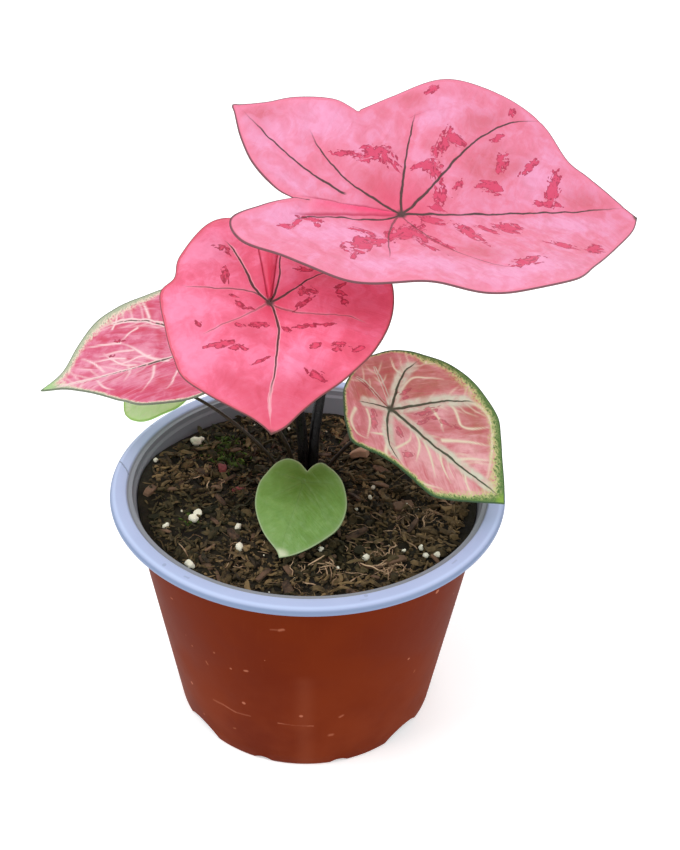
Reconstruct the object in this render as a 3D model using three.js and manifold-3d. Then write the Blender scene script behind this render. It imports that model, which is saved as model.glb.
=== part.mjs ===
// A caladium in a two-colour nursery pot.
// Millimetres, +Z up. The origin is on the pot's axis, on the surface that the pot stands on.
// Each blade is built in its own frame: the petiole joins it at the origin, +X runs along the
// midrib to the tip, +Y is the left half and +Z is the upper face.

import * as THREE from 'three';
import { mergeVertices } from 'three/addons/utils/BufferGeometryUtils.js';
import Module from 'manifold-3d';

const wasm = await Module();
wasm.setup();

// ---------------------------------------------------------------- driving dimensions

const GAP = 0.3;                  // clearance between neighbouring pieces

const POT_HEIGHT = 100;
const RIM_RADIUS = 75;
const BASE_RADIUS = 52.5;
const SHELL_TOP = POT_HEIGHT - 1.5;
const SHELL_TOP_RADIUS = 67.7;    // outside of the shell, just under the rim
const SHELL_WALL = 0.8;
const LINING_WALL = 0.7;
const POT_SIDES = 60;

// The rim's section. Outside: [inset from the rim's edge, depth below the pot's top].
// Inside, where it turns down: [distance out from the lining's wall, depth].
const RIM_UNDERSIDE = 1.1;
const RIM_OUTSIDE = [[1.2, 1.2], [1, 3], [0.1, 3], [0, 1.4], [0.5, 0.4], [1.8, 0]];
const RIM_INSIDE = [[1.6, 0.1], [0.5, 0.5], [0, 1.6]];

const FLOOR = 1.2;                // thickness of the pot's floor
const FOOT_EDGE = 1;              // bevel round the pot's foot
const CHANNEL_HEIGHT = 3;         // the raised drain ring in the floor
const CHANNEL_INNER = 26;
const CHANNEL_OUTER = 43;
const CHANNEL_SLOPE = 2.5;        // run of its sloping sides
const DRAIN_HOLES = 8;
const DRAIN_HOLE_RADIUS = 4;
const FOOT_NOTCHES = 11;
const SMALL_NOTCH = { width: 8, height: 2 };
const LARGE_NOTCH = { width: 20, height: 5 };

const SOIL_BOTTOM = FLOOR + CHANNEL_HEIGHT + GAP;
const SOIL_LEVEL = 87;
const SOIL_MOUND = 3;             // how much higher the soil stands round the crown
const SOIL_MOUND_RADIUS = 30;
const SOIL_SWELL = 0.9;           // height of its long swells
const SOIL_ROUGHNESS = 1.6;       // height of its clods
const SOIL_SPOKES = 48;
const SOIL_RINGS = 11;

const TUBER = { radius: 17, height: 18, top: 72, knobs: 0.07 };

const BLADE_THICKNESS = 0.9;
const SMALL_LEAF = 35;            // a blade with a shorter midrib gets fewer facets
const FOOT_FLARE = 1.15;          // a petiole's thickness at its foot, against its middle
const FOOT_SPREAD = 1.15;         // how much farther out the feet stand than at the soil's surface
const FOOT_CLEARANCE = 0.5;       // from the tuber
const NECK_TAPER = 0.8;           // a petiole's thickness under the blade, against its middle
const NECK_REACH = 0.07;          // length of its bend under the blade, against the midrib
const NECK_CLEARANCE = 0.55;      // from the underside of the blade

// ---------------------------------------------------------------- leaves
// An outline is two lists of [degrees from the midrib, millimetres from the petiole]: the left
// half and the right half, each from near the tip to the sinus. Both start at the tip itself.
// nod and bow: drop of the tip and of the basal lobes. vee: slope at which the halves rise.
// curl: lift of the right lobe's edge along the sinus. wave: height of the margin's waves.

const LEAVES = [
  {
    name: 'top',
    hub: [30, 6, 206.3],
    heading: 15, droop: 3, bank: 22,
    tip: 90,
    left: [
      [6, 82], [12, 75.5], [18, 71], [30, 71.5], [40, 68.5], [52, 62], [66, 55.5], [84, 46],
      [102, 40], [112, 46.5], [124, 54.5], [132, 60], [139, 67], [148, 59.5], [156, 51],
      [163, 39], [166, 29], [167.5, 12],
    ],
    right: [
      [-5, 85.5], [-15, 75], [-28, 67], [-42, 63], [-58, 55], [-74, 49], [-92, 42.5],
      [-110, 42.5], [-128, 46.5], [-144, 49], [-158, 51.5], [-170, 57.5], [-180, 58.5],
      [-184, 48], [-187.5, 36], [-189.5, 24], [-190, 12],
    ],
    sinus: [169, 10],
    nod: 6, bow: 4, vee: 0.34, crease: 8, curl: 4, wave: 1.2,
    petiole: {
      diameter: 3.2,
      route: [[1.8, 1, 88], [1.5, 1, 104], [2.6, 3, 125], [8, 8, 155], [19, 13, 184]],
    },
    colour: 0xe58fa9, stem: 0x17120f,
  },
  {
    name: 'front',
    hub: [-13.2, -16, 182.8],
    heading: -86, droop: 27, bank: 0,
    tip: 48,
    left: [
      [6, 46], [15, 41.5], [26, 38.5], [42, 38], [60, 39.5], [80, 41], [98, 42], [114, 41],
      [130, 39], [146, 37.5], [160, 35], [171, 30], [176.5, 22], [178, 13],
    ],
    right: [
      [-3, 45.5], [-9, 42.5], [-18, 40.5], [-42, 40.5], [-56, 38], [-72, 36], [-94, 36.5],
      [-107, 33.5], [-123, 36.5], [-147, 40], [-160, 40.5], [-171, 37], [-178.5, 30],
      [-180, 22], [-181, 13],
    ],
    sinus: [178.7, 11],
    nod: 5, bow: 4, vee: 0.02, crease: 8, curl: 0, wave: 0.8,
    petiole: {
      diameter: 3.2,
      route: [[-2.2, 0, 88], [-2.2, 0, 104], [-3, -1, 125], [-7, -5, 150], [-11, -11, 170]],
    },
    colour: 0xf57b9f, stem: 0x17120f,
  },
  {
    name: 'left',
    hub: [-41.2, 14, 147.7],
    heading: 180, droop: 16, bank: -12,
    tip: 65,
    left: [
      [4, 55], [12, 47], [20, 42], [32, 38], [46, 37], [63, 38.5], [80, 36.5], [99, 37],
      [118, 34], [136, 31], [152, 28], [164, 24], [171, 17], [174, 10],
    ],
    right: [
      [-6, 57], [-18, 53], [-29, 49], [-39, 43], [-52, 37], [-65, 34.5], [-82, 32], [-100, 31],
      [-118, 30], [-136, 29], [-152, 27], [-165, 23], [-172, 17], [-176, 10],
    ],
    sinus: [179, 8],
    nod: 4, bow: 3, vee: 0.3, crease: 6, curl: 0, wave: 0.8,
    petiole: {
      diameter: 2.4,
      route: [[-5.5, 3.5, 88], [-6.5, 4.5, 105], [-11.5, 6, 117], [-23, 9.5, 131]],
    },
    colour: 0xea8fa9, stem: 0x4a3f26,
  },
  {
    name: 'right',
    hub: [29.4, -8, 137.3],
    heading: -20, droop: 31, bank: 12,
    tip: 54,
    left: [
      [6, 51], [17, 46.5], [28, 44.5], [38, 43], [52, 37.5], [65, 33.5], [80, 30], [97, 26],
      [111, 24], [125, 23], [137, 22], [150, 21], [160, 20.5], [168, 18], [170.5, 11],
    ],
    right: [
      [-3, 51], [-14, 44], [-28, 39.5], [-40, 37], [-51, 30], [-62, 25.5], [-76, 24.5],
      [-90, 27], [-101, 28.5], [-113, 24.5], [-131, 21], [-153, 19.5], [-171, 18.5],
      [-180, 18.5], [-185, 17], [-187, 11],
    ],
    sinus: [172, 7],
    nod: 3, bow: 2, vee: 0.25, crease: 5, curl: 0, wave: 0.5,
    petiole: {
      diameter: 2.2,
      route: [[6, 1, 88], [7.2, 1.5, 103], [13, 1, 113], [23, -2, 126]],
    },
    colour: 0xbc9685, stem: 0x33221a,
  },
  {
    name: 'young',
    hub: [-1.3, -15, 109],
    heading: -107, droop: 28, bank: 0,
    tip: 30.5,
    left: [
      [9, 29], [20, 27], [34, 25], [48, 24], [60, 22], [72, 19.5], [87, 16.5], [104, 14],
      [127, 11.5], [152, 10], [166, 7.5],
    ],
    right: [
      [-4, 28], [-19, 24.5], [-35, 21.5], [-52, 19], [-73, 16.5], [-92, 14], [-115, 13],
      [-132, 11.5], [-149, 8.5], [-164, 6],
    ],
    sinus: [180, 4.5],
    nod: 2, bow: 1, vee: 0.08, crease: 4, curl: 0, wave: 0.3,
    petiole: {
      diameter: 2,
      route: [[-1, -5.5, 88], [-1.2, -8, 95], [-1.3, -11.5, 102]],
    },
    colour: 0x699a4a, stem: 0x5b6b33,
  },
  {
    name: 'rear',
    hub: [-55, 24, 125.2],
    heading: 205, droop: 24, bank: -8,
    tip: 24,
    left: [
      [12, 20], [28, 17.5], [48, 15.5], [72, 14.5], [98, 13.5], [124, 12.5], [148, 11.5],
      [164, 9],
    ],
    right: [
      [-12, 20], [-28, 18], [-48, 16.5], [-72, 15.5], [-98, 14.5], [-124, 13.5], [-148, 12],
      [-164, 9],
    ],
    sinus: [180, 5],
    nod: 2, bow: 1, vee: 0.1, crease: 4, curl: 0, wave: 0.3,
    petiole: {
      diameter: 2,
      route: [[-9, 5, 86], [-13.2, 6, 102], [-27.8, 8, 118], [-42, 16, 123.5]],
    },
    colour: 0xa7cb8c, stem: 0x5a4c30,
  },
];

// ---------------------------------------------------------------- small helpers

function finish(colour, roughness) {
  return new THREE.MeshStandardMaterial({ color: colour, roughness, metalness: 0 });
}

function toSolid(geometry) {
  const bare = geometry.clone();
  bare.deleteAttribute('normal');
  bare.deleteAttribute('uv');
  const welded = mergeVertices(bare, 1e-4);
  return new wasm.Manifold(new wasm.Mesh({
    numProp: 3,
    vertProperties: new Float32Array(welded.attributes.position.array),
    triVerts: new Uint32Array(welded.index.array),
  }));
}

function toGeometry(solid) {
  const mesh = solid.getMesh();
  return fromLists(mesh.vertProperties, mesh.triVerts);
}

function fromLists(positions, index) {
  const geometry = new THREE.BufferGeometry();
  geometry.setAttribute('position', new THREE.BufferAttribute(new Float32Array(positions), 3));
  geometry.setIndex(new THREE.BufferAttribute(new Uint32Array(index), 1));
  geometry.computeVertexNormals();
  return geometry;
}

// A profile of [radius, height] turned about the vertical axis.
function turned(profile, sides) {
  const points = profile.map(([radius, height]) => new THREE.Vector2(radius, height));
  const geometry = new THREE.LatheGeometry(points, sides);
  geometry.rotateX(Math.PI / 2);
  return geometry;
}

function radians(degrees) {
  return THREE.MathUtils.degToRad(degrees);
}

// ---------------------------------------------------------------- pot

function shellRadius(height) {
  return THREE.MathUtils.mapLinear(height, 0, SHELL_TOP, BASE_RADIUS, SHELL_TOP_RADIUS);
}

function shellGeometry() {
  const channelTop = FLOOR + CHANNEL_HEIGHT;
  const inside = (height) => shellRadius(height) - SHELL_WALL;
  const profile = [
    [0, 0],
    [CHANNEL_INNER - CHANNEL_SLOPE, 0],
    [CHANNEL_INNER, CHANNEL_HEIGHT],
    [CHANNEL_OUTER, CHANNEL_HEIGHT],
    [CHANNEL_OUTER + CHANNEL_SLOPE, 0],
    [BASE_RADIUS - FOOT_EDGE, 0],
    [BASE_RADIUS, FOOT_EDGE],
    [SHELL_TOP_RADIUS, SHELL_TOP],
    [inside(SHELL_TOP), SHELL_TOP],
    [inside(FLOOR + FOOT_EDGE), FLOOR + FOOT_EDGE],
    [inside(FLOOR) - FOOT_EDGE, FLOOR],
    [CHANNEL_OUTER + SHELL_WALL + CHANNEL_SLOPE, FLOOR],
    [CHANNEL_OUTER + SHELL_WALL, channelTop],
    [CHANNEL_INNER - SHELL_WALL, channelTop],
    [CHANNEL_INNER - SHELL_WALL - CHANNEL_SLOPE, FLOOR],
    [0, FLOOR],
  ];
  let solid = toSolid(turned(profile, POT_SIDES));
  for (let i = 0; i < DRAIN_HOLES; i += 1) {
    solid = solid.subtract(toSolid(drainHole((i + 0.5) * 360 / DRAIN_HOLES)));
  }
  for (let i = 0; i < FOOT_NOTCHES; i += 1) {
    const size = i % 2 === 0 ? SMALL_NOTCH : LARGE_NOTCH;
    const turn = -90 + (i + 0.5) * 360 / FOOT_NOTCHES;
    solid = solid.subtract(toSolid(footNotch(size, turn)));
  }
  return toGeometry(solid);
}

function drainHole(turn) {
  const hole = new THREE.CylinderGeometry(DRAIN_HOLE_RADIUS, DRAIN_HOLE_RADIUS, 10, 12);
  hole.rotateX(Math.PI / 2);
  hole.translate((CHANNEL_INNER + CHANNEL_OUTER) / 2, 0, CHANNEL_HEIGHT);
  hole.rotateZ(radians(turn));
  return hole;
}

// A low round arch through the foot, cut by a cylinder that lies along the radius.
function footNotch({ width, height }, turn) {
  const radius = (height ** 2 + (width / 2) ** 2) / (2 * height);
  const arch = new THREE.CylinderGeometry(radius, radius, 12, 20);
  arch.rotateZ(Math.PI / 2);
  arch.translate(BASE_RADIUS - 1, 0, height - radius);
  arch.rotateZ(radians(turn));
  return arch;
}

function liningOuter(height) {
  return shellRadius(height) - SHELL_WALL - GAP;
}

function liningGeometry() {
  const inner = (height) => liningOuter(height) - LINING_WALL;
  const under = POT_HEIGHT - RIM_UNDERSIDE;
  const profile = [
    [liningOuter(SOIL_BOTTOM), SOIL_BOTTOM],
    [liningOuter(under), under],
    ...RIM_OUTSIDE.map(([inset, depth]) => [RIM_RADIUS - inset, POT_HEIGHT - depth]),
    ...RIM_INSIDE.map(([out, depth]) => [inner(POT_HEIGHT - depth) + out, POT_HEIGHT - depth]),
    [inner(SOIL_BOTTOM), SOIL_BOTTOM],
    [liningOuter(SOIL_BOTTOM), SOIL_BOTTOM],
  ];
  return turned(profile, POT_SIDES);
}

// ---------------------------------------------------------------- soil and tuber

// A repeatable number from 0 to 1 for a whole-numbered place.
function scatter(i, j) {
  const value = Math.sin(i * 127.1 + j * 311.7 + 17.3) * 43758.5453;
  return value - Math.floor(value);
}

// Height of the soil: a low mound round the crown, long swells, and clods of a few millimetres.
function soilHeight(x, y, i, j) {
  const distance = Math.hypot(x, y);
  const mound = SOIL_MOUND * Math.exp(-((distance / SOIL_MOUND_RADIUS) ** 2));
  const swell = SOIL_SWELL * Math.sin(x / 11 + 1) * Math.cos(y / 13 - 0.4);
  const clods = SOIL_ROUGHNESS * (scatter(i, j) - 0.5) * 2;
  return SOIL_LEVEL + mound + swell + clods;
}

function soilSolid() {
  const wall = liningOuter(SOIL_LEVEL) - LINING_WALL - GAP;
  const foot = liningOuter(SOIL_BOTTOM) - LINING_WALL - GAP;
  const positions = [0, 0, SOIL_LEVEL + SOIL_MOUND];
  const index = [];
  for (let ring = 1; ring <= SOIL_RINGS; ring += 1) {
    for (let spoke = 0; spoke < SOIL_SPOKES; spoke += 1) {
      const atWall = ring === SOIL_RINGS;
      const jog = atWall ? 0 : (scatter(spoke, ring + 40) - 0.5) * 0.5;
      const turn = (spoke + (ring % 2) / 2 * (atWall ? 0 : 1) + jog) * 2 * Math.PI / SOIL_SPOKES;
      const radius = wall * ring / SOIL_RINGS;
      const x = radius * Math.cos(turn);
      const y = radius * Math.sin(turn);
      const height = atWall ? SOIL_LEVEL - 0.5 : soilHeight(x, y, spoke, ring);
      positions.push(x, y, height);
    }
  }
  const bottomRing = positions.length / 3;
  for (let spoke = 0; spoke < SOIL_SPOKES; spoke += 1) {
    const turn = spoke * 2 * Math.PI / SOIL_SPOKES;
    positions.push(foot * Math.cos(turn), foot * Math.sin(turn), SOIL_BOTTOM);
  }
  const bottomCentre = positions.length / 3;
  positions.push(0, 0, SOIL_BOTTOM);
  for (let spoke = 0; spoke < SOIL_SPOKES; spoke += 1) {
    const next = (spoke + 1) % SOIL_SPOKES;
    index.push(0, 1 + spoke, 1 + next);
    for (let ring = 0; ring < SOIL_RINGS; ring += 1) {
      const inner = 1 + ring * SOIL_SPOKES;
      const outer = inner + SOIL_SPOKES;
      const last = ring === SOIL_RINGS - 1;
      const outerStart = last ? bottomRing : outer;
      index.push(inner + spoke, outerStart + spoke, outerStart + next);
      index.push(inner + spoke, outerStart + next, inner + next);
    }
    index.push(bottomCentre, bottomRing + next, bottomRing + spoke);
  }
  return toSolid(fromLists(positions, index));
}

// A flattened knobbly ball, a little larger when it is the hollow in the soil.
function tuberGeometry(grown) {
  const ball = new THREE.SphereGeometry(1, 16, 9);
  ball.rotateX(Math.PI / 2);
  const place = ball.attributes.position;
  for (let i = 0; i < place.count; i += 1) {
    const x = place.getX(i);
    const y = place.getY(i);
    const z = place.getZ(i);
    const knob = 1 + TUBER.knobs * Math.sin(3 * Math.atan2(y, x) + 0.8) * (1 - z * z);
    const radius = TUBER.radius * knob + grown;
    const height = TUBER.height / 2 + grown;
    place.setXYZ(i, x * radius, y * radius, z * height + TUBER.top - TUBER.height / 2);
  }
  return ball;
}

function soilGeometry() {
  let soil = soilSolid().subtract(toSolid(tuberGeometry(GAP)));
  for (const leaf of LEAVES) {
    soil = soil.subtract(toSolid(petioleGeometry(leaf, GAP)));
  }
  return toGeometry(soil);
}

// ---------------------------------------------------------------- petioles

// Where a petiole's foot stands on the tuber, worked out from where it leaves the soil.
function petioleFoot({ route, diameter }) {
  const x = route[0][0] * FOOT_SPREAD;
  const y = route[0][1] * FOOT_SPREAD;
  const innerEdge = Math.hypot(x, y) - diameter / 2 * FOOT_FLARE;
  const drop = 1 - Math.sqrt(1 - (innerEdge / TUBER.radius) ** 2);
  const surface = TUBER.top - TUBER.height / 2 * drop;
  return new THREE.Vector3(x, y, surface + FOOT_CLEARANCE);
}

function bladeFrame(leaf) {
  return new THREE.Euler(radians(leaf.bank), radians(leaf.droop), radians(leaf.heading), 'ZYX');
}

function petioleCurve(leaf) {
  const hub = new THREE.Vector3(...leaf.hub);
  const upward = new THREE.Vector3(0, 0, 1).applyEuler(bladeFrame(leaf));
  const seat = hub.clone().addScaledVector(upward, -(BLADE_THICKNESS / 2 + NECK_CLEARANCE));
  const neck = hub.clone().addScaledVector(upward, -NECK_REACH * leaf.tip);
  const route = leaf.petiole.route.map((point) => new THREE.Vector3(...point));
  const points = [petioleFoot(leaf.petiole), ...route, neck, seat];
  return new THREE.CatmullRomCurve3(points, false, 'centripetal');
}

// A round stem bent along the curve, thicker at the foot, with a flat end under the blade.
function petioleGeometry(leaf, grown) {
  const sides = 8;
  const curve = petioleCurve(leaf);
  const steps = Math.round(curve.getLength() / 8) + 4;
  const radius = leaf.petiole.diameter / 2;
  const top = radius * NECK_TAPER + grown;
  const foot = radius * FOOT_FLARE + grown;
  const stem = new THREE.CylinderGeometry(top, foot, 1, sides, steps);
  const frames = curve.computeFrenetFrames(steps);
  const place = stem.attributes.position;
  for (let i = 0; i < place.count; i += 1) {
    const step = Math.round((place.getY(i) + 0.5) * steps);
    const point = curve.getPointAt(step / steps);
    point.addScaledVector(frames.normals[step], place.getX(i));
    point.addScaledVector(frames.binormals[step], -place.getZ(i));
    if (grown > 0 && step === 0) {
      point.z -= 1;
    }
    place.setXYZ(i, point.x, point.y, point.z);
  }
  return stem;
}

// ---------------------------------------------------------------- blades

function polar([degrees, radius]) {
  return new THREE.Vector2(radius * Math.cos(radians(degrees)), radius * Math.sin(radians(degrees)));
}

// Points round the edge, counter-clockwise from the tip, with the tip and the sinus kept sharp.
function bladeEdge(leaf) {
  const tip = new THREE.Vector2(leaf.tip, 0);
  const sinus = polar(leaf.sinus);
  const count = leaf.tip > SMALL_LEAF ? 30 : 18;
  const left = new THREE.SplineCurve([tip, ...leaf.left.map(polar), sinus]).getSpacedPoints(count);
  const right = new THREE.SplineCurve([tip, ...leaf.right.map(polar), sinus]).getSpacedPoints(count);
  return [...left, ...right.reverse().slice(1, -1)];
}

// Height of the blade's middle surface over its frame's plane.
function bladeLift(leaf, x, y, reach) {
  const ahead = Math.max(x, 0) / leaf.tip;
  const behind = Math.max(-x, 0) / leaf.tip;
  const turn = Math.atan2(y, x);
  const droop = leaf.nod * ahead ** 2 + leaf.bow * behind ** 2;
  const fold = leaf.vee * (Math.hypot(y, leaf.crease) - leaf.crease);
  const wave = leaf.wave * reach ** 3 * Math.sin(7 * turn + 0.6);
  return fold + wave - droop + sinusCurl(leaf, turn, Math.hypot(x, y));
}

// Along the sinus the right lobe's edge stands up and the left lobe's edge dips.
function sinusCurl(leaf, turn, radius) {
  const sinusTurn = radians(leaf.sinus[0]);
  const past = THREE.MathUtils.euclideanModulo(turn - sinusTurn, 2 * Math.PI);
  const onRight = past < Math.PI;
  const away = onRight ? past : 2 * Math.PI - past;
  const grow = Math.max(0, radius - leaf.sinus[1]) / leaf.tip;
  const fade = Math.exp(-away / radians(18));
  return leaf.curl * grow * fade * (onRight ? 2 : -1);
}

function bladeGeometry(leaf) {
  const edge = bladeEdge(leaf);
  const rings = leaf.tip > SMALL_LEAF ? [0.3, 0.6, 0.85, 1] : [0.4, 0.75, 1];
  const spokes = edge.length;
  const positions = [];
  const index = [];
  for (const side of [1, -1]) {
    const start = positions.length / 3;
    positions.push(0, 0, side * BLADE_THICKNESS / 2);
    for (const reach of rings) {
      for (const point of edge) {
        const x = point.x * reach;
        const y = point.y * reach;
        positions.push(x, y, bladeLift(leaf, x, y, reach) + side * BLADE_THICKNESS / 2);
      }
    }
    for (let spoke = 0; spoke < spokes; spoke += 1) {
      const next = (spoke + 1) % spokes;
      pushFace(index, side, start, start + 1 + spoke, start + 1 + next);
      for (let ring = 1; ring < rings.length; ring += 1) {
        const inner = start + 1 + (ring - 1) * spokes;
        const outer = inner + spokes;
        pushFace(index, side, inner + spoke, outer + spoke, outer + next);
        pushFace(index, side, inner + spoke, outer + next, inner + next);
      }
    }
  }
  const topEdge = 1 + (rings.length - 1) * spokes;
  const lowEdge = topEdge + 1 + rings.length * spokes;
  for (let spoke = 0; spoke < spokes; spoke += 1) {
    const next = (spoke + 1) % spokes;
    index.push(topEdge + spoke, lowEdge + spoke, lowEdge + next);
    index.push(topEdge + spoke, lowEdge + next, topEdge + next);
  }
  return fromLists(positions, index);
}

function pushFace(index, side, a, b, c) {
  if (side > 0) {
    index.push(a, b, c);
  } else {
    index.push(a, c, b);
  }
}

// ---------------------------------------------------------------- assembly

const plant = new THREE.Group();

function add(name, geometry, material) {
  const mesh = new THREE.Mesh(geometry, material);
  mesh.name = name;
  plant.add(mesh);
  return mesh;
}

add('pot_shell', shellGeometry(), finish(0x7a3220, 0.55));
add('pot_lining', liningGeometry(), finish(0xb0c0dc, 0.5));
add('soil', soilGeometry(), finish(0x40382a, 0.95));
add('tuber', tuberGeometry(0), finish(0x5b4030, 0.9));

for (const leaf of LEAVES) {
  add(`petiole_${leaf.name}`, petioleGeometry(leaf, 0), finish(leaf.stem, 0.5));
  const blade = add(`blade_${leaf.name}`, bladeGeometry(leaf), finish(leaf.colour, 0.6));
  blade.position.set(...leaf.hub);
  blade.rotation.copy(bladeFrame(leaf));
}

export default plant;
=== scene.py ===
"""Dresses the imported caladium: its blades, stalks, potting mix and two-colour pot.

Sizes in the classes are millimetres. They become metres only where a mesh is made.
Each blade has its own frame: the stalk joins it at the origin, +X runs along the midrib to the
tip, +Y is the left half and +Z is the upper face.
"""
import logging
import math
import random
from dataclasses import dataclass, field
from enum import Enum
from typing import Callable, Sequence

import bpy
import numpy as np
from mathutils import Euler, Matrix, Vector, noise


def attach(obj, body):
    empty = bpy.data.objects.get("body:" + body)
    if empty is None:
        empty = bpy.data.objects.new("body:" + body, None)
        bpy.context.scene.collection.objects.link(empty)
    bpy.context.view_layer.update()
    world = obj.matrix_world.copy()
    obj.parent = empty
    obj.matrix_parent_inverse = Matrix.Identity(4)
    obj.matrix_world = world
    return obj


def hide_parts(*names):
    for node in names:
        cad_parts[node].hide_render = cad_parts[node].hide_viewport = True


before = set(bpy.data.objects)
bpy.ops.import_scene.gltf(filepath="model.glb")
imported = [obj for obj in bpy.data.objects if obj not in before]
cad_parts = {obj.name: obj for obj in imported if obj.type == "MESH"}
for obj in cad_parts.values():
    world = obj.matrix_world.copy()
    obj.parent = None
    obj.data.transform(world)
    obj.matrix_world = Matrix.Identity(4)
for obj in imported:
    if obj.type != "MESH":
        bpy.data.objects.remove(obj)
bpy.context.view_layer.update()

log = logging.getLogger("caladium")

MM = 0.001
BODY = "root"

Colour = tuple[float, float, float, float]
Pair = tuple[float, float]
Triple = tuple[float, float, float]

WHITE: Colour = (1.0, 1.0, 1.0, 1.0)


# ---------------------------------------------------------------- colour and small helpers


def rgb(red: int, green: int, blue: int) -> Colour:
    """Turns a display colour into a linear one.

    Args:
        red: Red, 0 to 255.
        green: Green, 0 to 255.
        blue: Blue, 0 to 255.

    Returns:
        The linear colour with full alpha.
    """
    def linear(value: int) -> float:
        """One channel, from its display value."""
        share = value / 255
        return share / 12.92 if share <= 0.04045 else ((share + 0.055) / 1.055) ** 2.4

    return (linear(red), linear(green), linear(blue), 1.0)


def metres(*lengths: float) -> tuple[float, ...]:
    """Lengths in millimetres as metres."""
    return tuple(length * MM for length in lengths)


def deselect() -> None:
    """Leaves nothing selected and nothing active, in object mode."""
    if bpy.context.object and bpy.context.object.mode != "OBJECT":
        bpy.ops.object.mode_set(mode="OBJECT")
    bpy.ops.object.select_all(action="DESELECT")
    bpy.context.view_layer.objects.active = None


def choose(piece: bpy.types.Object) -> None:
    """Makes one piece the only selected one, and active.

    Args:
        piece: The piece.
    """
    deselect()
    piece.select_set(True)
    bpy.context.view_layer.objects.active = piece


def smooth_by_angle(piece: bpy.types.Object, degrees: float) -> None:
    """Shades a piece smooth, with edges sharper than an angle kept crisp."""
    choose(piece)
    bpy.ops.object.shade_smooth_by_angle(angle=math.radians(degrees))


def apply_modifiers(piece: bpy.types.Object) -> None:
    """Applies every modifier of a piece, in order.

    Args:
        piece: The piece.
    """
    choose(piece)
    for modifier in list(piece.modifiers):
        bpy.ops.object.modifier_apply(modifier=modifier.name)


def outward(piece: bpy.types.Object, weld: float = 0.01) -> None:
    """Merges a piece's doubles and turns its faces outwards.

    Args:
        piece: The closed piece.
        weld: Distance under which points merge, in millimetres.
    """
    choose(piece)
    bpy.ops.object.mode_set(mode="EDIT")
    bpy.ops.mesh.select_all(action="SELECT")
    bpy.ops.mesh.remove_doubles(threshold=weld * MM)
    bpy.ops.mesh.normals_make_consistent(inside=False)
    bpy.ops.object.mode_set(mode="OBJECT")


def take_over(piece: bpy.types.Object, slot: str, *nodes: str) -> bpy.types.Object:
    """Puts a finished piece on the body, and lets it stand for CAD nodes.

    Args:
        piece: The piece, with its place in its mesh.
        slot: The name of its material slot, which is only logged.
        *nodes: The CAD nodes that it replaces, if any.

    Returns:
        The same piece.
    """
    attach(piece, BODY)
    if nodes:
        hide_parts(*nodes)
    log.info("%s: %d faces, slot %s", piece.name, len(piece.data.polygons), slot)
    return piece


def points_of(piece: bpy.types.Object) -> np.ndarray:
    """A piece's vertices, in metres, one row each.

    Args:
        piece: The piece.

    Returns:
        The vertices.
    """
    flat = np.zeros(len(piece.data.vertices) * 3, np.float32)
    piece.data.vertices.foreach_get("co", flat)
    return flat.reshape(-1, 3).astype(float)


def move_points(piece: bpy.types.Object, places: np.ndarray) -> None:
    """Moves a piece's vertices to new places, in metres."""
    piece.data.vertices.foreach_set("co", places.astype(np.float32).ravel())
    piece.data.update()


def set_attribute(piece: bpy.types.Object, name: str, values: np.ndarray) -> None:
    """Stores one number for each vertex under a name that materials read."""
    layer = piece.data.attributes.new(name, "FLOAT", "POINT")
    layer.data.foreach_set("value", values.astype(np.float32))


def shaped_grid(name: str, columns: int, rows: int,
                place: Callable[[np.ndarray, np.ndarray], np.ndarray]) -> bpy.types.Object:
    """Adds a grid and lays it over a form.

    Args:
        name: The piece's name.
        columns: Faces across, along the form's first share.
        rows: Faces along the second share.
        place: Gives places in metres for arrays of the two shares, each from 0 to 1.

    Returns:
        The piece, open where the form is open.
    """
    deselect()
    bpy.ops.mesh.primitive_grid_add(x_subdivisions=columns, y_subdivisions=rows, size=1)
    piece = bpy.context.object
    piece.name = name
    flat = points_of(piece)
    move_points(piece, place(flat[:, 0] + 0.5, flat[:, 1] + 0.5))
    return piece


def lumps(place: Sequence[float], scale: float, octaves: int, seed: float) -> float:
    """Fractal noise at a place, about -1 to 1.

    Args:
        place: Where, in millimetres.
        scale: Size of the largest lumps, in millimetres.
        octaves: How many finer layers are added.
        seed: Shifts the pattern.

    Returns:
        The noise value.
    """
    at = Vector((place[0] / scale + seed, place[1] / scale - seed, place[2] / scale))
    return noise.fractal(at, 0.9, 2.1, octaves)


def lump_field(places: np.ndarray, scale: float, octaves: int, seed: float) -> np.ndarray:
    """Fractal noise for many places at once, in millimetres."""
    return np.array([lumps(place, scale, octaves, seed) for place in places])


# ---------------------------------------------------------------- node trees


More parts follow.
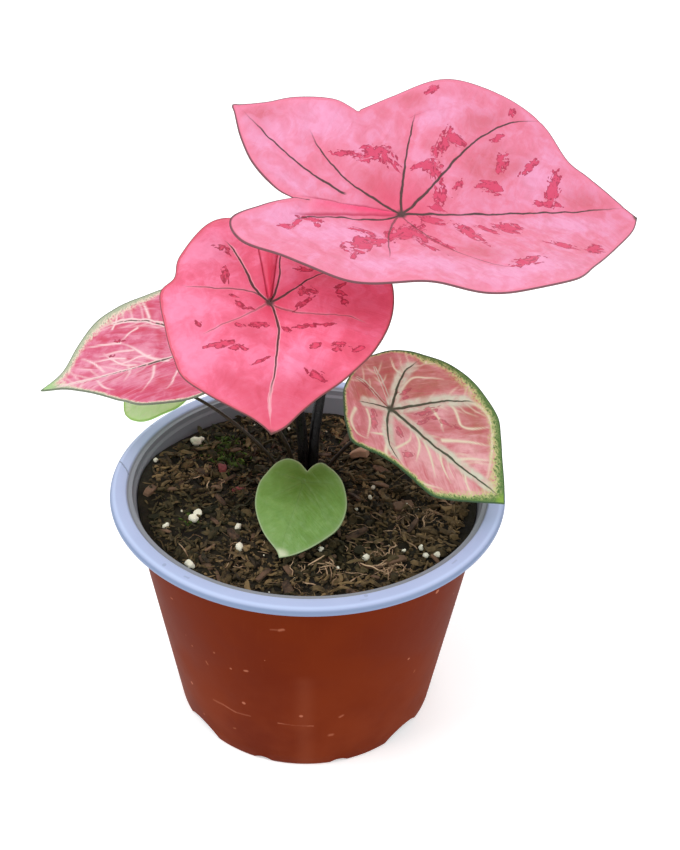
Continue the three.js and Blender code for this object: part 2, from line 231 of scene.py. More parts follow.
@dataclass
class Tree:
    """Writes nodes into one node tree.

    Attributes:
        nodes: The tree that the nodes go into.
    """

    nodes: bpy.types.NodeTree

    def add(self, kind: str, **settings: object) -> bpy.types.Node:
        """Adds a node and sets its properties.

        Args:
            kind: The node's type.
            **settings: Its properties, by name.

        Returns:
            The node.
        """
        node = self.nodes.nodes.new(kind)
        for name, value in settings.items():
            setattr(node, name, value)
        return node

    def put(self, socket: bpy.types.NodeSocket, value: object) -> None:
        """Links a socket to another, or gives it a plain value.

        Args:
            socket: The socket.
            value: Another socket, a plain value, or None to leave it.
        """
        if isinstance(value, bpy.types.NodeSocket):
            self.nodes.links.new(value, socket)
        elif value is not None:
            socket.default_value = value

    def math(self, operation: str, *values: object, clamp: bool = False) -> bpy.types.NodeSocket:
        """A Math node.

        Args:
            operation: Name of the operation.
            *values: Its inputs, as numbers or sockets.
            clamp: Whether the result is held between 0 and 1.

        Returns:
            The result.
        """
        node = self.add("ShaderNodeMath", operation=operation, use_clamp=clamp)
        for socket, value in zip(node.inputs, values):
            self.put(socket, value)
        return node.outputs[0]

    def _vector_math(self, operation: str, values: Sequence[object]) -> bpy.types.Node:
        """Adds a Vector Math node.

        Args:
            operation: Name of the operation.
            values: Its inputs, as vectors or sockets.

        Returns:
            The node.
        """
        node = self.add("ShaderNodeVectorMath", operation=operation)
        for socket, value in zip(node.inputs, values):
            self.put(socket, value)
        return node

    def vector(self, operation: str, *values: object) -> bpy.types.NodeSocket:
        """A Vector Math node's vector, such as a sum."""
        return self._vector_math(operation, values).outputs["Vector"]

    def measure(self, operation: str, *values: object) -> bpy.types.NodeSocket:
        """A Vector Math node's number, such as a length or a distance."""
        return self._vector_math(operation, values).outputs["Value"]

    def scaled(self, vector: object, scale: object) -> bpy.types.NodeSocket:
        """A vector times a number.

        Args:
            vector: The vector.
            scale: The number.

        Returns:
            The longer or shorter vector.
        """
        node = self._vector_math("SCALE", (vector,))
        self.put(node.inputs["Scale"], scale)
        return node.outputs["Vector"]

    def split(self, vector: object) -> bpy.types.bpy_prop_collection:
        """The three parts of a vector.

        Args:
            vector: The vector.

        Returns:
            Its parts along X, Y and Z.
        """
        node = self.add("ShaderNodeSeparateXYZ")
        self.put(node.inputs[0], vector)
        return node.outputs

    def joined(self, *parts: object) -> bpy.types.NodeSocket:
        """A vector of up to three parts.

        Args:
            *parts: Its parts along X, Y and Z.

        Returns:
            The vector.
        """
        node = self.add("ShaderNodeCombineXYZ")
        for socket, part in zip(node.inputs, parts):
            self.put(socket, part)
        return node.outputs[0]

    def ramp(self, value: object, low: object, high: object, from_: float = 0.0,
             to: float = 1.0) -> bpy.types.NodeSocket:
        """A smooth step from one value to another.

        Args:
            value: What is mapped.
            low: Where the step starts.
            high: Where it ends.
            from_: The value before the step.
            to: The value after it.

        Returns:
            The stepped value.
        """
        node = self.add("ShaderNodeMapRange", interpolation_type="SMOOTHSTEP")
        for socket, given in zip(node.inputs, (value, low, high, from_, to)):
            self.put(socket, given)
        return node.outputs[0]

    def mix(self, share: object, first: object, second: object) -> bpy.types.NodeSocket:
        """Mixes two colours.

        Args:
            share: How much of the second colour there is, 0 to 1.
            first: The first colour.
            second: The second colour.

        Returns:
            The mixed colour.
        """
        node = self.add("ShaderNodeMix", data_type="RGBA")
        self.put(node.inputs[0], share)
        self.put(node.inputs[6], first)
        self.put(node.inputs[7], second)
        return node.outputs[2]

    def noise(self, vector: object, scale: float, detail: float = 2.0, roughness: float = 0.5,
              distortion: float = 0.0) -> bpy.types.NodeSocket:
        """A noise texture's value.

        Args:
            vector: Where it is read.
            scale: How fine it is.
            detail: How many finer layers it has.
            roughness: How strong those layers are.
            distortion: How far it is swirled.

        Returns:
            The value, about 0.5 on average.
        """
        node = self.add("ShaderNodeTexNoise")
        self.put(node.inputs["Vector"], vector)
        for name, value in (("Scale", scale), ("Detail", detail), ("Roughness", roughness),
                            ("Distortion", distortion)):
            node.inputs[name].default_value = value
        return node.outputs[0]

    def attribute(self, name: str) -> bpy.types.NodeSocket:
        """The number that a piece stores for each vertex under a name."""
        return self.add("ShaderNodeAttribute", attribute_name=name).outputs["Fac"]

    def object_place(self) -> bpy.types.NodeSocket:
        """Object coordinates."""
        return self.add("ShaderNodeTexCoord").outputs["Object"]

    def stretched(self, vector: object, scale: Triple) -> bpy.types.NodeSocket:
        """A vector scaled differently along each axis."""
        return self.vector("MULTIPLY", vector, scale)


class Kind(Enum):
    """What a socket of an effect carries, by the name of its type."""

    NUMBER = "NodeSocketFloat"
    VECTOR = "NodeSocketVector"


class Effect:
    """A shader node group that several finishes share.

    Attributes:
        group: The group.
        tree: Its node tree.
        given: Its inputs, as seen inside it.
        result: Its outputs, as seen inside it.
    """

    def __init__(self, name: str, inputs: dict[str, float | None],
                 outputs: dict[str, Kind]) -> None:
        """Makes the group and its named sockets.

        Args:
            name: The group's name.
            inputs: For each input its default number, or None for a vector.
            outputs: For each output what it carries.
        """
        group = bpy.data.node_groups.new(name, "ShaderNodeTree")
        for label, default in inputs.items():
            kind = Kind.VECTOR if default is None else Kind.NUMBER
            socket = group.interface.new_socket(label, in_out="INPUT", socket_type=kind.value)
            if kind is Kind.NUMBER:
                socket.default_value = default
        for label, kind in outputs.items():
            group.interface.new_socket(label, in_out="OUTPUT", socket_type=kind.value)
        self.group = group
        self.tree = Tree(group)
        self.given = self.tree.add("NodeGroupInput").outputs
        self.result = self.tree.add("NodeGroupOutput").inputs

    def place(self, tree: Tree, **values: object) -> bpy.types.bpy_prop_collection:
        """Puts the effect into a material.

        Args:
            tree: The material's tree.
            **values: The inputs by name, with underscores for spaces.

        Returns:
            The effect's outputs.
        """
        node = tree.add("ShaderNodeGroup", node_tree=self.group)
        for name, value in values.items():
            tree.put(node.inputs[name.replace("_", " ")], value)
        return node.outputs


LEAF_SPAN = 220.0  # the width that a blade's texture square stands for


def leaf_plane_effect() -> Effect:
    """Turns a blade's texture square into millimetres, radius and bearing from the stalk.

    Returns:
        The effect.
    """
    made = Effect("leaf_plane", {"Square": None, "Wander": 0.4},
                  {"Place": Kind.VECTOR, "Radius": Kind.NUMBER, "Bearing": Kind.NUMBER})
    t = made.tree
    centred = t.scaled(t.vector("SUBTRACT", made.given["Square"], (0.5, 0.5, 0.0)), LEAF_SPAN)
    drift = t.add("ShaderNodeTexNoise")
    t.put(drift.inputs["Vector"], centred)
    t.put(drift.inputs["Scale"], 0.16)
    wander = t.scaled(t.vector("SUBTRACT", drift.outputs["Color"], (0.5, 0.5, 0.5)),
                      t.math("MULTIPLY", made.given["Wander"], 4.0))
    x, y, _ = t.split(t.vector("ADD", centred, wander))
    t.put(made.result["Place"], centred)
    t.put(made.result["Radius"], t.measure("LENGTH", t.joined(x, y)))
    t.put(made.result["Bearing"], t.math("DEGREES", t.math("ARCTAN2", y, x)))
    return made


def vein_effect() -> Effect:
    """The line of one main vein and the soft band beside it.

    Returns:
        The effect.
    """
    labels = ("Radius", "Bearing", "Heading", "Bend", "Curl", "Length", "Start", "End", "Width",
              "Band")
    made = Effect("vein", dict.fromkeys(labels, 0.0), {"Line": Kind.NUMBER, "Halo": Kind.NUMBER})
    t, given = made.tree, made.given
    share = t.math("DIVIDE", given["Radius"], given["Length"])
    bent = t.math("MULTIPLY_ADD", given["Bend"], share, given["Heading"])
    course = t.math("MULTIPLY_ADD", t.math("MULTIPLY", share, share), given["Curl"], bent)
    turn = t.math("WRAP", t.math("SUBTRACT", given["Bearing"], course), 180.0, -180.0)
    arc = t.math("MULTIPLY", t.math("RADIANS", turn), given["Radius"])
    across = t.math("ABSOLUTE", arc)
    begun = t.ramp(given["Radius"], t.math("SUBTRACT", given["Start"], 1.0),
                   t.math("ADD", given["Start"], 1.0))
    spent = t.math("DIVIDE", given["Radius"], given["End"])
    lasting = t.ramp(spent, 0.8, 1.0, 1.0, 0.0)
    present = t.math("MULTIPLY", begun, lasting)
    half = t.math("MULTIPLY", given["Width"], t.ramp(spent, 0.0, 1.0, 0.62, 0.28))
    line = t.ramp(across, t.math("MULTIPLY", half, 0.7), t.math("MULTIPLY", half, 1.35), 1.0, 0.0)
    spread = t.math("DIVIDE", across, given["Band"])
    halo = t.math("EXPONENT", t.math("MULTIPLY", t.math("MULTIPLY", spread, spread), -1.0))
    t.put(made.result["Line"], t.math("MULTIPLY", line, present))
    t.put(made.result["Halo"], t.math("MULTIPLY", halo, present))
    return made


def blotch_effect() -> Effect:
    """Blotches frayed along their length where a stored field is high, and their inner tones.

    Returns:
        The effect.
    """
    made = Effect("blotch", {"Field": 0.0, "Place": None, "Fine Place": None, "Rim": 0.3},
                  {"Mask": Kind.NUMBER, "Tone": Kind.NUMBER})
    t, given = made.tree, made.given
    along = t.stretched(given["Place"], (0.13, 0.42, 1.0))
    frayed = t.math("SUBTRACT", t.noise(along, 1.0, 2.0, 0.55, 1.4), 0.5)
    coarse = t.math("SUBTRACT", t.noise(given["Fine Place"], 0.26, 2.0, 0.55, 1.6), 0.5)
    rough = t.math("MULTIPLY_ADD", frayed, 2.4, t.math("MULTIPLY", coarse, 1.9))
    gate = t.ramp(given["Field"], 0.1, 0.42)
    level = t.math("MULTIPLY_ADD", rough, gate, given["Field"])
    t.put(made.result["Mask"], t.ramp(level, 0.47, 0.53))
    crumbs = t.ramp(t.noise(given["Fine Place"], 0.7, 2.0, 0.6), 0.4, 0.62, -0.16, 0.12)
    t.put(made.result["Tone"], t.ramp(t.math("ADD", level, crumbs), 0.54,
                                      t.math("ADD", given["Rim"], 0.54)))
    return made


def streak_effect() -> Effect:
    """Fine streaks that leave the midrib on both sides at an angle.

    Returns:
        The effect.
    """
    made = Effect("streak", {"Place": None, "Angle": 45.0}, {"Tone": Kind.NUMBER})
    t, given = made.tree, made.given
    x, signed, _ = t.split(given["Place"])
    y = t.math("ABSOLUTE", signed)
    turn = t.math("RADIANS", given["Angle"])
    cosine, sine = t.math("COSINE", turn), t.math("SINE", turn)
    along = t.math("ADD", t.math("MULTIPLY", x, cosine), t.math("MULTIPLY", y, sine))
    across = t.math("SUBTRACT", t.math("MULTIPLY", y, cosine), t.math("MULTIPLY", x, sine))
    combed = t.joined(t.math("MULTIPLY", along, 0.09), t.math("MULTIPLY", across, 0.55),
                      t.math("MULTIPLY", signed, 0.02))
    t.put(made.result["Tone"], t.noise(combed, 1.0, 3.0, 0.6, 0.6))
    return made


def mottle_effect() -> Effect:
    """Broad and fine variation of a surface's tone, and a fine relief.

    Returns:
        The effect.
    """
    made = Effect("mottle", {"Place": None, "Broad": 1.0, "Fine": 10.0},
                  {"Broad": Kind.NUMBER, "Fine": Kind.NUMBER, "Height": Kind.NUMBER})
    t, given = made.tree, made.given
    broad = t.add("ShaderNodeTexNoise")
    fine = t.add("ShaderNodeTexNoise")
    for node, scale, detail in ((broad, "Broad", 3.0), (fine, "Fine", 4.0)):
        t.put(node.inputs["Vector"], given["Place"])
        t.put(node.inputs["Scale"], given[scale])
        node.inputs["Detail"].default_value = detail
        node.inputs["Roughness"].default_value = 0.6
    t.put(made.result["Broad"], t.ramp(broad.outputs[0], 0.32, 0.68))
    t.put(made.result["Fine"], t.ramp(fine.outputs[0], 0.3, 0.7))
    t.put(made.result["Height"], t.math("MULTIPLY_ADD", fine.outputs[0], 0.6, broad.outputs[0]))
    return made


def speck_effect() -> Effect:
    """Small scattered specks, larger and denser as the amount grows.

    Returns:
        The effect.
    """
    made = Effect("specks", {"Place": None, "Scale": 200.0, "Amount": 0.1},
                  {"Mask": Kind.NUMBER})
    t, given = made.tree, made.given
    cells = t.add("ShaderNodeTexVoronoi")
    t.put(cells.inputs["Vector"], given["Place"])
    t.put(cells.inputs["Scale"], given["Scale"])
    chance = t.add("ShaderNodeSeparateColor")
    t.put(chance.inputs[0], cells.outputs["Color"])
    picked = t.math("LESS_THAN", chance.outputs[0], given["Amount"])
    size = t.math("MULTIPLY_ADD", chance.outputs[1], 0.22, 0.06)
    inside = t.ramp(cells.outputs["Distance"], t.math("MULTIPLY", size, 0.7), size, 1.0, 0.0)
    t.put(made.result["Mask"], t.math("MULTIPLY", picked, inside))
    return made


@dataclass
class Effects:
    """All the shared effects, each built once.

    Attributes:
        leaf_plane: Places on a blade.
        vein: A main vein's line and band.
        blotch: Frayed blotches.
        mottle: Broad and fine variation.
        specks: Scattered specks.
        streak: Fine streaks beside the midrib.
    """

    leaf_plane: Effect = field(default_factory=leaf_plane_effect)
    vein: Effect = field(default_factory=vein_effect)
    blotch: Effect = field(default_factory=blotch_effect)
    mottle: Effect = field(default_factory=mottle_effect)
    specks: Effect = field(default_factory=speck_effect)
    streak: Effect = field(default_factory=streak_effect)


def new_finish(name: str) -> tuple[bpy.types.Material, Tree, bpy.types.Node]:
    """Makes an empty node material.

    Args:
        name: The material's name.

    Returns:
        The material, its tree and its Principled shader.
    """
    material = bpy.data.materials.new(name)
    material.use_nodes = True
    tree = Tree(material.node_tree)
    return material, tree, material.node_tree.nodes["Principled BSDF"]


def dress(tree: Tree, shader: bpy.types.Node, colour: object, roughness: object, height: object,
          distance: float, strength: float, shine: float = 0.5) -> None:
    """Feeds a surface's colour, roughness and relief into its shader.

    Args:
        tree: The material's tree.
        shader: Its Principled shader.
        colour: The colour.
        roughness: The roughness.
        height: The relief's height, about 0 to 1.
        distance: What a height of 1 stands for, in millimetres.
        strength: The share of it that shows.
        shine: How strongly the surface reflects.
    """
    relief = tree.add("ShaderNodeBump")
    tree.put(relief.inputs["Strength"], strength)
    tree.put(relief.inputs["Distance"], distance * MM)
    tree.put(relief.inputs["Height"], height)
    tree.put(shader.inputs["Base Color"], colour)
    tree.put(shader.inputs["Roughness"], roughness)
    tree.put(shader.inputs["Specular IOR Level"], shine)
    tree.put(shader.inputs["Normal"], relief.outputs[0])


# ---------------------------------------------------------------- leaf forms


@dataclass(frozen=True)
class Vein:
    """A main vein, whose bearing bends as it runs out from the stalk.

    Attributes:
        heading: Bearing at the stalk, in degrees from the midrib, to the left.
        bend: Degrees added along one midrib's length.
        curl: Degrees added with the square of that length.
        end: Distance from the stalk at which it has faded.
        start: Distance at which it begins to show.
        width: Width of its line near the start.
        pale: Whether it shows as a pale line with a thin dark core.
        strength: How strongly its line shows.
    """

    heading: float
    bend: float
    curl: float
    end: float
    start: float = 0.0
    width: float = 0.8
    pale: bool = False
    strength: float = 1.0

    def bearing(self, radius: np.ndarray, length: float) -> np.ndarray:
        """Its bearing in degrees at distances from the stalk."""
        share = radius / length
        return self.heading + self.bend * share + self.curl * share ** 2

    def course(self, length: float, count: int) -> np.ndarray:
        """Points along it in the blade's plane, one row each.

        Args:
            length: The midrib's length.
            count: How many points to make.

        Returns:
            The points, one row each.
        """
        radius = np.linspace(max(self.start, 1.0), self.end, count)
        turn = np.radians(self.bearing(radius, length))
        return np.stack([radius * np.cos(turn), radius * np.sin(turn)], 1)


@dataclass(frozen=True)
class Branch:
    """A side vein that is drawn by itself.

    Attributes:
        points: Its points, each a bearing and a distance from the stalk.
        width: Its width, 1 for a strong one.
    """

    points: tuple[Pair, ...]
    width: float = 1.0


@dataclass(frozen=True)
class Blotch:
    """An oval patch on a blade.

    Attributes:
        x: Its middle along the midrib.
        y: Its middle across it.
        length: Half its length.
        width: Half its width.
        turn: Its turn from the midrib, in degrees.
    """

    x: float
    y: float
    length: float
    width: float
    turn: float

    def axes(self, x: np.ndarray, y: np.ndarray) -> tuple[np.ndarray, np.ndarray]:
        """Distances from its middle along its length and across it.

        Args:
            x: The places' first coordinates.
            y: Their second coordinates.

        Returns:
            The distances along it and those across it.
        """
        turn = math.radians(self.turn)
        east, north = x - self.x, y - self.y
        return (east * math.cos(turn) + north * math.sin(turn),
                north * math.cos(turn) - east * math.sin(turn))


@dataclass(frozen=True)
class StalkForm:
    """The form of one stalk.

    Attributes:
        diameter: Its thickness.
        route: The points it passes from the soil upwards.
    """

    diameter: float
    route: tuple[Triple, ...]


GROWN_TIP = 60.0  # length of a midrib from which on a leaf's details are at full size


@dataclass(frozen=True)
class LeafForm:
    """The form of one leaf.

    Attributes:
        name: The leaf's name in its nodes.
        hub: Where the stalk joins the blade.
        heading: Direction of the midrib seen from above, in degrees.
        droop: Degrees that the midrib falls.
        bank: Degrees that the left half is raised.
        tip: Length of the midrib.
        left: Outline of the left half, as bearings and distances from the stalk.
        right: Outline of the right half.
        sinus: Where the two halves meet behind the stalk.
        nod: Drop of the tip.
        bow: Drop of the basal lobes.
        vee: Slope at which the halves rise.
        crease: How round the fold along the midrib is.
        curl: Lift of the right lobe's edge along the sinus.
        wave: Height of the margin's waves.
        stalk: The leaf's stalk.
        veins: The main veins.
        branches: Side veins that are drawn one by one.
        blotches: Patches of the darker colour.
        lights: Soft patches of the paler colour.
        dulls: Soft patches of the duller colour.
        closed_to: Distance from the stalk up to which the lobes lie against each other.
        fold: How fast the fold between the lobes widens on its left and right.
        margin_shape: Width of the margin against its full width, for bearings.
        edge_shape: The same for the line along the edge.
        side_veins: How many faint side veins leave a main vein on each side.
        streak: Angle at which fine streaks leave the midrib, in degrees.
        ridge: Height of the fold where the lobes meet.
        spokes: Faces round the blade.
        rings: Faces from the stalk to the edge.
    """

    name: str
    hub: Triple
    heading: float
    droop: float
    bank: float
    tip: float
    left: tuple[Pair, ...]
    right: tuple[Pair, ...]
    sinus: Pair
    nod: float
    bow: float
    vee: float
    crease: float
    curl: float
    wave: float
    stalk: StalkForm
    veins: tuple[Vein, ...]
    branches: tuple[Branch, ...] = ()
    blotches: tuple[Blotch, ...] = ()
    lights: tuple[Blotch, ...] = ()
    dulls: tuple[Blotch, ...] = ()
    closed_to: float = 0.0
    fold: Pair = (0.0, 0.0)
    margin_shape: tuple[Pair, ...] = ((-180, 1.0), (180, 1.0))
    edge_shape: tuple[Pair, ...] = ((-180, 1.0), (180, 1.0))
    side_veins: int = 9
    streak: float = 55.0
    ridge: float = 0.4
    spokes: int = 400
    rings: int = 50

    def scale(self) -> float:
        """Size of its details against a grown leaf's, at most 1."""
        return min(1.0, self.tip / GROWN_TIP)

    def turn(self) -> Matrix:
        """The blade frame's rotation."""
        return Euler((math.radians(self.bank), math.radians(self.droop),
                      math.radians(self.heading)), "XYZ").to_matrix()


def blotches(*values: tuple[float, float, float, float, float]) -> tuple[Blotch, ...]:
    """Makes blotches from rows of middle, half sizes and turn."""
    return tuple(Blotch(*row) for row in values)


def faint_veins(midrib: Triple, *others: Triple) -> tuple[Vein, ...]:
    """Makes a young leaf's veins, each from its heading, bend and end.

    Args:
        midrib: The middle vein.
        *others: The veins beside it.

    Returns:
        The veins.
    """
    def vein(row: Triple, width: float, strength: float) -> Vein:
        """One vein."""
        return Vein(row[0], row[1], 0, row[2], width=width, strength=strength)

    return vein(midrib, 0.45, 0.3), *(vein(row, 0.35, 0.25) for row in others)


TOP = LeafForm(
    name="top", hub=(30, 6, 206.3), heading=15, droop=3, bank=22, tip=90,
    left=((6, 82), (12, 75.5), (18, 71), (30, 71.5), (40, 68.5), (52, 62), (66, 55.5), (84, 46),
          (100, 40.6), (103, 39.6), (106, 41.8), (112, 46.5), (124, 54.5), (132, 60),
          (137.6, 65.8), (139.6, 68.4), (141.4, 66.2), (148, 60), (156, 52.5), (163.5, 43.5),
          (167.2, 36.6)),
    right=((-5, 85.5), (-15, 75), (-28, 67), (-42, 63), (-58, 55), (-74, 49), (-92, 42.5),
           (-110, 42.5), (-128, 46.5), (-144, 49), (-158, 51.5), (-170, 57.5), (-180, 58.5),
           (-185, 48), (-188.9, 38.2)),
    sinus=(169.5, 10), nod=6, bow=4, vee=0.34, crease=8, curl=4, wave=1.2,
    stalk=StalkForm(3.2, ((1.8, 1, 88), (1.5, 1, 104), (2.6, 3, 125), (8, 8, 155), (19, 13, 184))),
    veins=(Vein(-3, 6, 0, 88, width=0.78), Vein(34, 40, -53, 74, width=0.72),
           Vein(80, -22, 13, 42, width=0.7), Vein(139.6, -152, 0, 46, 38, 0.3, strength=0.4),
           Vein(141, 8, -72, 44, width=0.66), Vein(161, -39, 12, 66, 20, 0.74),
           Vein(-150, -180, 274, 40, width=0.72),
           Vein(-142, 163, -232, 28, width=0.6, strength=0.7),
           Vein(-69, 10, 58, 48, 0, 0.42, strength=0.6)),
    blotches=blotches(
        (-14.9, 22.9, 7, 0.9, 170), (-5.7, 23, 5.5, 2.5, 10), (-0.7, 21.3, 4.9, 2.2, 130),
        (19.7, 27, 5.8, 1.7, 55), (24.4, 28.6, 3.6, 1.5, 160), (13.3, 18.2, 4.8, 1.5, 10),
        (15.4, 17.3, 4, 1.7, 90), (15.5, 7.4, 5.7, 1.6, 75), (22, 9.6, 3.9, 0.9, 60),
        (13.6, 2.4, 3, 1, 160), (41, 20, 4.2, 1.7, 60), (35, 10, 4.6, 2.1, 0),
        (52, 19, 5.6, 0.9, 40), (59, 11, 5.8, 1.9, 65), (55, 4, 4.8, 1.2, 0),
        (42, 30, 4, 0.9, 25), (49.6, 40.3, 1.8, 0.9, 60), (19, 47, 2.6, 1.1, 25),
        (-18.4, -17.7, 6, 3.4, 25),
        (-13, -15.4, 4, 1.5, 15), (-16.7, -9.3, 3.8, 1, 145), (-23, -24.1, 2.9, 0.6, 70),
        (-1.6, -10.5, 6.6, 3.4, 30), (2.7, -12.2, 5.3, 1.7, 105), (3.8, -20.7, 5, 0.9, 130),
        (7.9, -16.4, 5.7, 0.9, 130), (9.6, -4, 4.1, 1.5, 150), (21, -13, 7.4, 1.7, 120),
        (27, -10, 3.6, 1.2, 145), (36, -9, 4.3, 2.4, 160), (34, -31, 5.8, 1.8, 15),
        (52, -19, 5.2, 1.1, 160), (64, -20, 3.6, 2, 5), (-40.8, -4.6, 2.2, 1, 165),
        (-37.7, -3.7, 3.5, 0.6, 45), (-31.5, -1.8, 4, 0.7, 160), (-30.2, -4.6, 2.1, 0.6, 95)),
    lights=blotches(
        (-22, 36, 12, 7, 160), (-42, 34, 9, 6, 130), (-22, -10, 16, 6, 175),
        (-4, -30, 20, 5, 175), (32, -34, 18, 5, 12), (52, 14, 9, 5, 60), (-40, 0, 10, 4, 175),
        (60, -6, 12, 4, 0), (20, 38, 8, 4, 30), (-40, 17, 9, 3, 150)),
    dulls=blotches(
        (38, 36, 9, 3, 8), (45, 18, 7, 3, 20), (-6, 10, 9, 6, 140), (-42, 44, 6, 10, 160),
        (8, 46, 8, 4, 160),
        (34, 20, 10, 8, 50), (70, 6, 8, 4, 0), (20, -24, 10, 5, 160), (-50, 22, 8, 4, 120)),
    edge_shape=((-180, 1.5), (-150, 1.2), (-90, 0.9), (-20, 0.7), (0, 1.0), (40, 0.5),
                (110, 0.45), (136, 0.6), (144, 1.2), (160, 1.3), (166, 0.5), (172, 0.4),
                (180, 1.5)),
    branches=(Branch(((73, 38.5), (70, 41.5), (66, 43.4), (60, 47)), 1.6),),
    closed_to=31.5, fold=(0.03, 0.15), streak=52, ridge=0.5, spokes=520, rings=70)

FRONT = LeafForm(
    name="front", hub=(-13.2, -16, 182.8), heading=-86, droop=27, bank=0, tip=48,
    left=((6, 46), (15, 41.5), (26, 38.5), (42, 38), (60, 39.5), (80, 41), (98, 42), (114, 41),
          (130, 39), (146, 37.5), (160, 35.5), (171, 33.2), (177.5, 30.3)),
    right=((-3, 45.5), (-9, 42.5), (-18, 40.5), (-42, 40.5), (-56, 38), (-72, 36), (-94, 36.5),
           (-107, 33.5), (-123, 36.5), (-147, 40), (-160, 40.5), (-171, 36.5), (-178, 31)),
    sinus=(179.8, 11), nod=5, bow=4, vee=0.02, crease=8, curl=0, wave=0.8,
    stalk=StalkForm(3.2, ((-2.2, 0, 88), (-2.2, 0, 104), (-3, -1, 125), (-7, -5, 150),
                          (-11, -11, 170))),
    veins=(Vein(28.5, -70, 42, 47, width=0.6, pale=True),
           Vein(-127, -100, 100, 32, width=0.72, pale=True),
           Vein(-145, 136, -110, 31, width=0.5, strength=0.7),
           Vein(-54, -25, 24, 27, width=0.5, strength=0.45),
           Vein(48, 110, -103, 35, width=0.5, strength=0.55),
           Vein(115, 71, -114, 26, width=0.7), Vein(147, 88, -88, 24, width=0.6)),
    blotches=blotches(
        (-22.8, -15.8, 3.1, 1, 75), (-20.9, -14.1, 1.5, 0.6, 40), (-11.3, -15, 3.2, 1, 10),
        (-2.6, -11.5, 1.7, 0.5, 80), (1.4, -9.7, 2.1, 0.6, 45), (2.7, -7.3, 2.3, 0.5, 85),
        (7.9, -23.8, 1.7, 0.7, 40), (9.2, -10.3, 1.5, 0.5, 65), (9.5, -4.9, 3.9, 0.8, 95),
        (10.8, 5, 2, 0.6, 60), (9.8, 14.5, 5.1, 0.8, 95), (17, -16.7, 4.1, 1.1, 105),
        (17.9, -10.4, 3.3, 0.8, 90), (17.2, 15.3, 2.3, 0.7, 105), (17.3, 22.6, 2.9, 0.7, 80),
        (19.2, 28.9, 2.2, 0.8, 90), (19.2, 22, 2.1, 0.5, 70), (22.6, -3.4, 2.8, 0.4, 115),
        (27.5, 14.8, 3.2, 1.3, 60), (-13.9, 11.3, 2.6, 0.8, 80), (-4.8, 12.9, 2.8, 1.2, 55),
        (0.4, 11.8, 4.2, 0.9, 130), (-3.8, 10.6, 1.7, 0.6, 150), (-6.1, 24.1, 2.1, 0.7, 110),
        (-3.1, 24.2, 2.2, 0.6, 70), (0.1, 24, 2, 1.1, 45)),
    lights=blotches((18, -26, 9, 6, 60), (24, 8, 8, 5, 0), (-22, -24, 9, 6, 120),
                    (22.3, -22.3, 3.8, 2.2, 90), (22.3, -22.3, 3.8, 2.2, 90), (2, -28, 10, 7, 90)),
    dulls=blotches((4, 30, 12, 7, 90), (-20, 26, 9, 6, 120), (20, 30, 8, 4, 90),
                   (12, -6, 7, 4, 60), (40, 0, 9, 12, 0), (30, -12, 7, 4, 60),
                   (30, 14, 8, 5, 120), (38, 2, 8, 7, 0)),
    edge_shape=((-180, 0.7), (-60, 0.6), (0, 1.0), (60, 1.2), (180, 0.9)),
    closed_to=28.5, fold=(0.12, 0.15), streak=68, ridge=1.0, spokes=420, rings=56)

